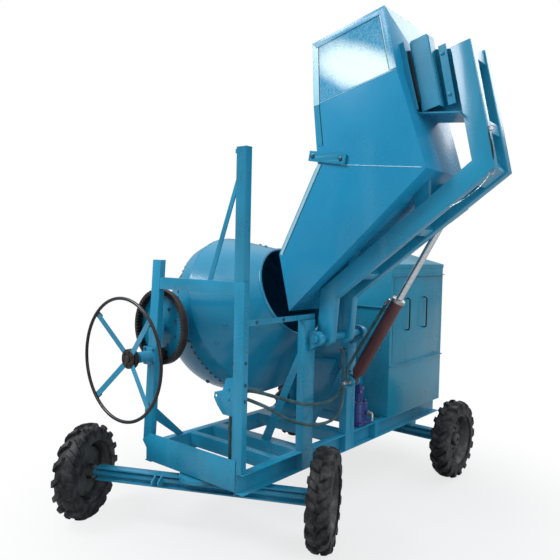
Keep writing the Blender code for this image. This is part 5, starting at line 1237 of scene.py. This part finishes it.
# ---------------------------------------------------------------- small fittings
@dataclass
class Fittings:
    """Bolts, louvres, handles, pump and valve parts of the frame and the cabin."""

    portal_web: float = 0.502       # X of the right upright's outer face
    grip_x: float = 0.5262          # X of the side panel's outer face
    slat: float = 0.24              # length of a louvre

    def build(self) -> None:
        """Makes all the fittings."""
        self.portal_bolts()
        self.bearing_bolts()
        self.handles()
        self.pump()
        self.valve()
        self.cabin_back()

    def cabin_back(self) -> None:
        """Louvres with painted shade strips under them, door seams, hinges and corner bolts on the cabin's back and far
        side.
        """
        slats, seams, hinges = Skin("cabin_louvres"), Skin("cabin_seams_and_louvre_shade"), Skin("cabin_hinges")
        for wall, along, out in ((np.array((0.0, 3.0600, 0.0)), X_AXIS, Y_AXIS),
                                 (np.array((-0.5220, 2.505, 0.0)), Y_AXIS, -X_AXIS)):
            proud = wall + out * 0.0004
            for start in (-0.30, 0.06):
                for z in np.arange(8) * 0.05 + 1.36:
                    slats.prism([(0.0, 0.0), (0.007, -0.004), (0.007, -0.006), (-0.001, -0.026)],
                                wall + along * start + Z_AXIS * z, out, Z_AXIS, along * self.slat)
                    # black strip just under each louvre: painted shade in its opening
                    gap = proud + along * start + Z_AXIS * (z - 0.029)
                    seams.bar(gap, gap + along * self.slat, Z_AXIS, 0.006, 0.001)
            corners = [(-0.36, 0.70), (0.36, 0.70), (0.36, 1.86), (-0.36, 1.86), (-0.36, 0.70)]
            for (a0, z0), (a1, z1) in zip(corners[:-1], corners[1:]):
                seams.bar(proud + along * a0 + Z_AXIS * z0, proud + along * a1 + Z_AXIS * z1,
                          Z_AXIS if z0 == z1 else along, 0.005, 0.001)
            for z in (0.86, 1.70):
                pin = wall - along * 0.36 + Z_AXIS * z + out * 0.002
                hinges.tube([pin - Z_AXIS * 0.04, pin + Z_AXIS * 0.04], 0.006, 12)
            hinges.bolts([wall + along * a + Z_AXIS * z for a in (-0.46, 0.46) for z in (0.68, 1.02, 1.36, 1.70, 1.92)],
                         out, 0.008)
        slats.done("chassis", Finish.CABIN)
        seams.done("chassis", Finish.BLACK)
        hinges.done("chassis", Finish.BOLT)

    def portal_bolts(self) -> None:
        """Bolts on the right upright and on the mouth bar."""
        bolts = Skin("portal_bolts")
        bolts.bolts([(self.portal_web, 0.027, z) for z in (1.335, 1.185, 1.075)], X_AXIS, 0.009)
        bolts.bolts([(self.portal_web - 0.0002, y, 1.603) for y in (0.13, 0.42)], X_AXIS, 0.010)
        bolts.done("chassis", Finish.BOLT)

    def bearing_bolts(self) -> None:
        """Bolts of the hand wheel's bearing, of the hinge bearings and of the cylinder's bracket."""
        bolts = Skin("bearing_bolts")
        bolts.bolts([HAND_WHEEL + (dx, -0.012, dz) for dx in (-0.055, 0.045) for dz in (-0.052, 0.052)], -Y_AXIS, 0.010)
        bolts.bolts([(0.5343, y, z) for y in (0.7175, 1.3125) for z in (1.362,)], X_AXIS, 0.009)
        bolts.bolts([(0.5323, y, z) for y in (1.275, 1.345) for z in (1.005, 1.115)], X_AXIS, 0.010)
        bolts.done("chassis", Finish.BOLT)

    def handles(self) -> None:
        """Two bent bar handles on the side panel, each on two round fixings."""
        g = self.grip_x
        for name, y in (("front_panel_handle", 2.24), ("rear_panel_handle", 2.60)):
            path = flowing([(g - 0.002, y, 1.38), (g + 0.028, y, 1.381), (g + 0.041, y, 1.392), (g + 0.043, y, 1.42),
                            (g + 0.043, y, 1.53), (g + 0.043, y, 1.64), (g + 0.041, y, 1.668), (g + 0.028, y, 1.679),
                            (g - 0.002, y, 1.68)])
            Skin(name + "_bar").tube(path, 0.007, 12).done("panel", Finish.BLACK, name)
            fixings = Skin(name + "_fixings")
            for z in (1.38, 1.68):
                fixings.lathe([(-0.001, 0), (-0.001, 0.017), (0.004, 0.016), (0.007, 0.011), (0.007, 0)],
                              (g, y, z), X_AXIS, 20)
            fixings.done("panel", Finish.BLUE)

    def pump(self) -> None:
        """Flanges, bolts and the bright elbow of the hydraulic pump."""
        flange = Skin("pump_flanges")
        centre = np.array((0.415, 1.60, 0.0))
        for z, radius in ((0.611, 0.100), (0.690, 0.0885), (0.777, 0.089), (0.848, 0.052)):
            flange.lathe([(0, 0), (0, radius - 0.002), (0.002, radius), (0.011, radius), (0.013, radius - 0.002),
                          (0.013, 0)], centre + Z_AXIS * z, Z_AXIS, 48)
        flange.box((0.385, 1.575, 0.9245), (0.445, 1.625, 0.940))
        flange.done("chassis", Finish.PUMP)
        elbow = Skin("pump_elbow")
        elbow.tube(flowing([(0.520, 1.60, 0.70), (0.545, 1.60, 0.70), (0.562, 1.598, 0.692), (0.568, 1.592, 0.672),
                            (0.568, 1.588, 0.640)]), 0.014, 20)
        elbow.lathe([(0, 0), (0, 0.024), (0.012, 0.024), (0.012, 0)], np.array((0.518, 1.60, 0.70)), X_AXIS, 6)
        elbow.bolts(centre + 0.072 * fan(X_AXIS, Y_AXIS, 8, 0.2) + Z_AXIS * 0.790, Z_AXIS, 0.007, False)
        elbow.bolts([(0.4555, 1.582, 0.875), (0.4555, 1.618, 0.905)], X_AXIS, 0.006, False)
        elbow.done("chassis", Finish.BARE)

    def valve(self) -> None:
        """Spool caps, bolts, the lever's boot and its knob."""
        parts = Skin("valve_caps")
        for z in (1.068, 1.10, 1.132):
            parts.lathe([(0, 0), (0, 0.011), (0.016, 0.011), (0.022, 0.007), (0.022, 0)], (0.331, 0.064, z), -X_AXIS, 6)
        parts.bolts([(0.345, 0.0905, 1.06), (0.345, 0.0905, 1.14), (0.386, 0.0905, 1.06), (0.386, 0.0905, 1.14)],
                    Y_AXIS, 0.006, False)
        parts.bolts([(0.345, 0.030, 1.065), (0.385, 0.030, 1.065), (0.345, 0.030, 1.135), (0.385, 0.030, 1.135)],
                    -Y_AXIS, 0.008)
        parts.done("chassis", Finish.BLUE)
        boot = Skin("lever_boot")
        boot.lathe([(-0.004, 0.0), (-0.004, 0.013), (0.0, 0.0135), (0.006, 0.009), (0.010, 0.011), (0.016, 0.008),
                    (0.018, 0.0)], (0.365, 0.06, 1.158), Z_AXIS, 20)
        boot.done("chassis", Finish.BLACK)
        knob = Skin("lever_knob_grip")
        knob.lathe([(0.0003, 0.0), (0.0003, 0.009), (0.008, 0.0115), (0.022, 0.0145), (0.036, 0.0155), (0.047, 0.0135),
                    (0.053, 0.008), (0.055, 0.0)], (0.365, 0.06, 1.28), Z_AXIS, 24)
        knob.done("lever", Finish.BLACK, "lever_knob")


# ---------------------------------------------------------------- carried-over solids
@dataclass
class Solids:
    """CAD solids that stay: each gets its finish, softened edges and smooth round faces."""

    soften: float = 0.0016          # width of the softened edges
    near: float = 0.00002           # points nearer than this are joined
    level: float = math.radians(0.4)    # faces that turn less than this become one
    sharp: float = math.radians(35)     # edges that turn more than this are softened
    finishes: dict[str, Finish] = field(default_factory=lambda: {
        "hopper_bucket": Finish.HOPPER, "cabin_shell": Finish.CABIN, "cabin_roof": Finish.CABIN,
        "side_panel": Finish.CABIN, "yoke": Finish.DRUM, "tilt_gear_web": Finish.DRUM, "pivot_shaft": Finish.BLUE,
        "drive_pinion": Finish.GREASY, "valve_body": Finish.BLUE, "valve_lever": Finish.BLACK})

    def smoothing(self) -> bpy.types.NodeTree:
        """Geometry nodes that shade faces smooth and keep edges above SMOOTH_ANGLE sharp."""
        tree = bpy.data.node_groups.new("smooth_by_angle", "GeometryNodeTree")
        tree.interface.new_socket("Geometry", in_out="INPUT", socket_type="NodeSocketGeometry")
        tree.interface.new_socket("Geometry", in_out="OUTPUT", socket_type="NodeSocketGeometry")
        enter, leave = tree.nodes.new("NodeGroupInput"), tree.nodes.new("NodeGroupOutput")
        faces = tree.nodes.new("GeometryNodeSetShadeSmooth")
        edges = tree.nodes.new("GeometryNodeSetShadeSmooth")
        edges.domain = "EDGE"
        angle = tree.nodes.new("GeometryNodeInputMeshEdgeAngle")
        flat = tree.nodes.new("FunctionNodeCompare")
        flat.data_type, flat.operation = "FLOAT", "LESS_THAN"
        flat.inputs[1].default_value = SMOOTH_ANGLE
        link = tree.links.new
        link(enter.outputs[0], faces.inputs["Geometry"])
        link(faces.outputs[0], edges.inputs["Geometry"])
        link(angle.outputs["Unsigned Angle"], flat.inputs[0])
        link(flat.outputs[0], edges.inputs["Shade Smooth"])
        link(edges.outputs[0], leave.inputs[0])
        return tree

    def dress(self, nodes: dict[str, bpy.types.Object]) -> None:
        """Puts a finish and the modifiers on every node that still shows.

        Args:
            nodes: CAD objects by name.
        """
        by_slot = {finish.slot: finish for finish in reversed(list(Finish))}
        tree = self.smoothing()
        for name, node in sorted(nodes.items()):
            slot = (node.material_slots[0].material.name if node.material_slots else "blue_paint").split(".")[0]
            finish = self.finishes.get(name, by_slot.get(slot, Finish.BLUE))
            if not node.material_slots:
                node.data.materials.append(finish.material)
            for holder in node.material_slots:
                holder.material = finish.material
            if node.hide_render:
                continue
            weld = node.modifiers.new("weld", "WELD")
            weld.merge_threshold = self.near
            flat = node.modifiers.new("flat", "DECIMATE")
            flat.decimate_type = "DISSOLVE"
            flat.angle_limit = self.level
            edge = node.modifiers.new("edge", "BEVEL")
            edge.width = self.soften
            edge.segments = 2
            edge.limit_method = "ANGLE"
            edge.angle_limit = self.sharp
            edge.use_clamp_overlap = True
            shade = node.modifiers.new("shade", "NODES")
            shade.node_group = tree
            LOG.info("%s: %s", name, finish.name)


def main() -> None:
    """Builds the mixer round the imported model."""
    logging.basicConfig(level=logging.INFO, format="%(message)s")
    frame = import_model()
    studio = Studio()
    studio.camera()
    Hoses().build()
    Wheels().build()
    Drum().build()
    TiltGear().build()
    HopperTrim().build()
    Cylinder().build()
    Fittings().build()
    Solids().dress(frame["nodes"])
    studio.surroundings()
    studio.floor()
    studio.lights()


if __name__ == "__main__":
    main()
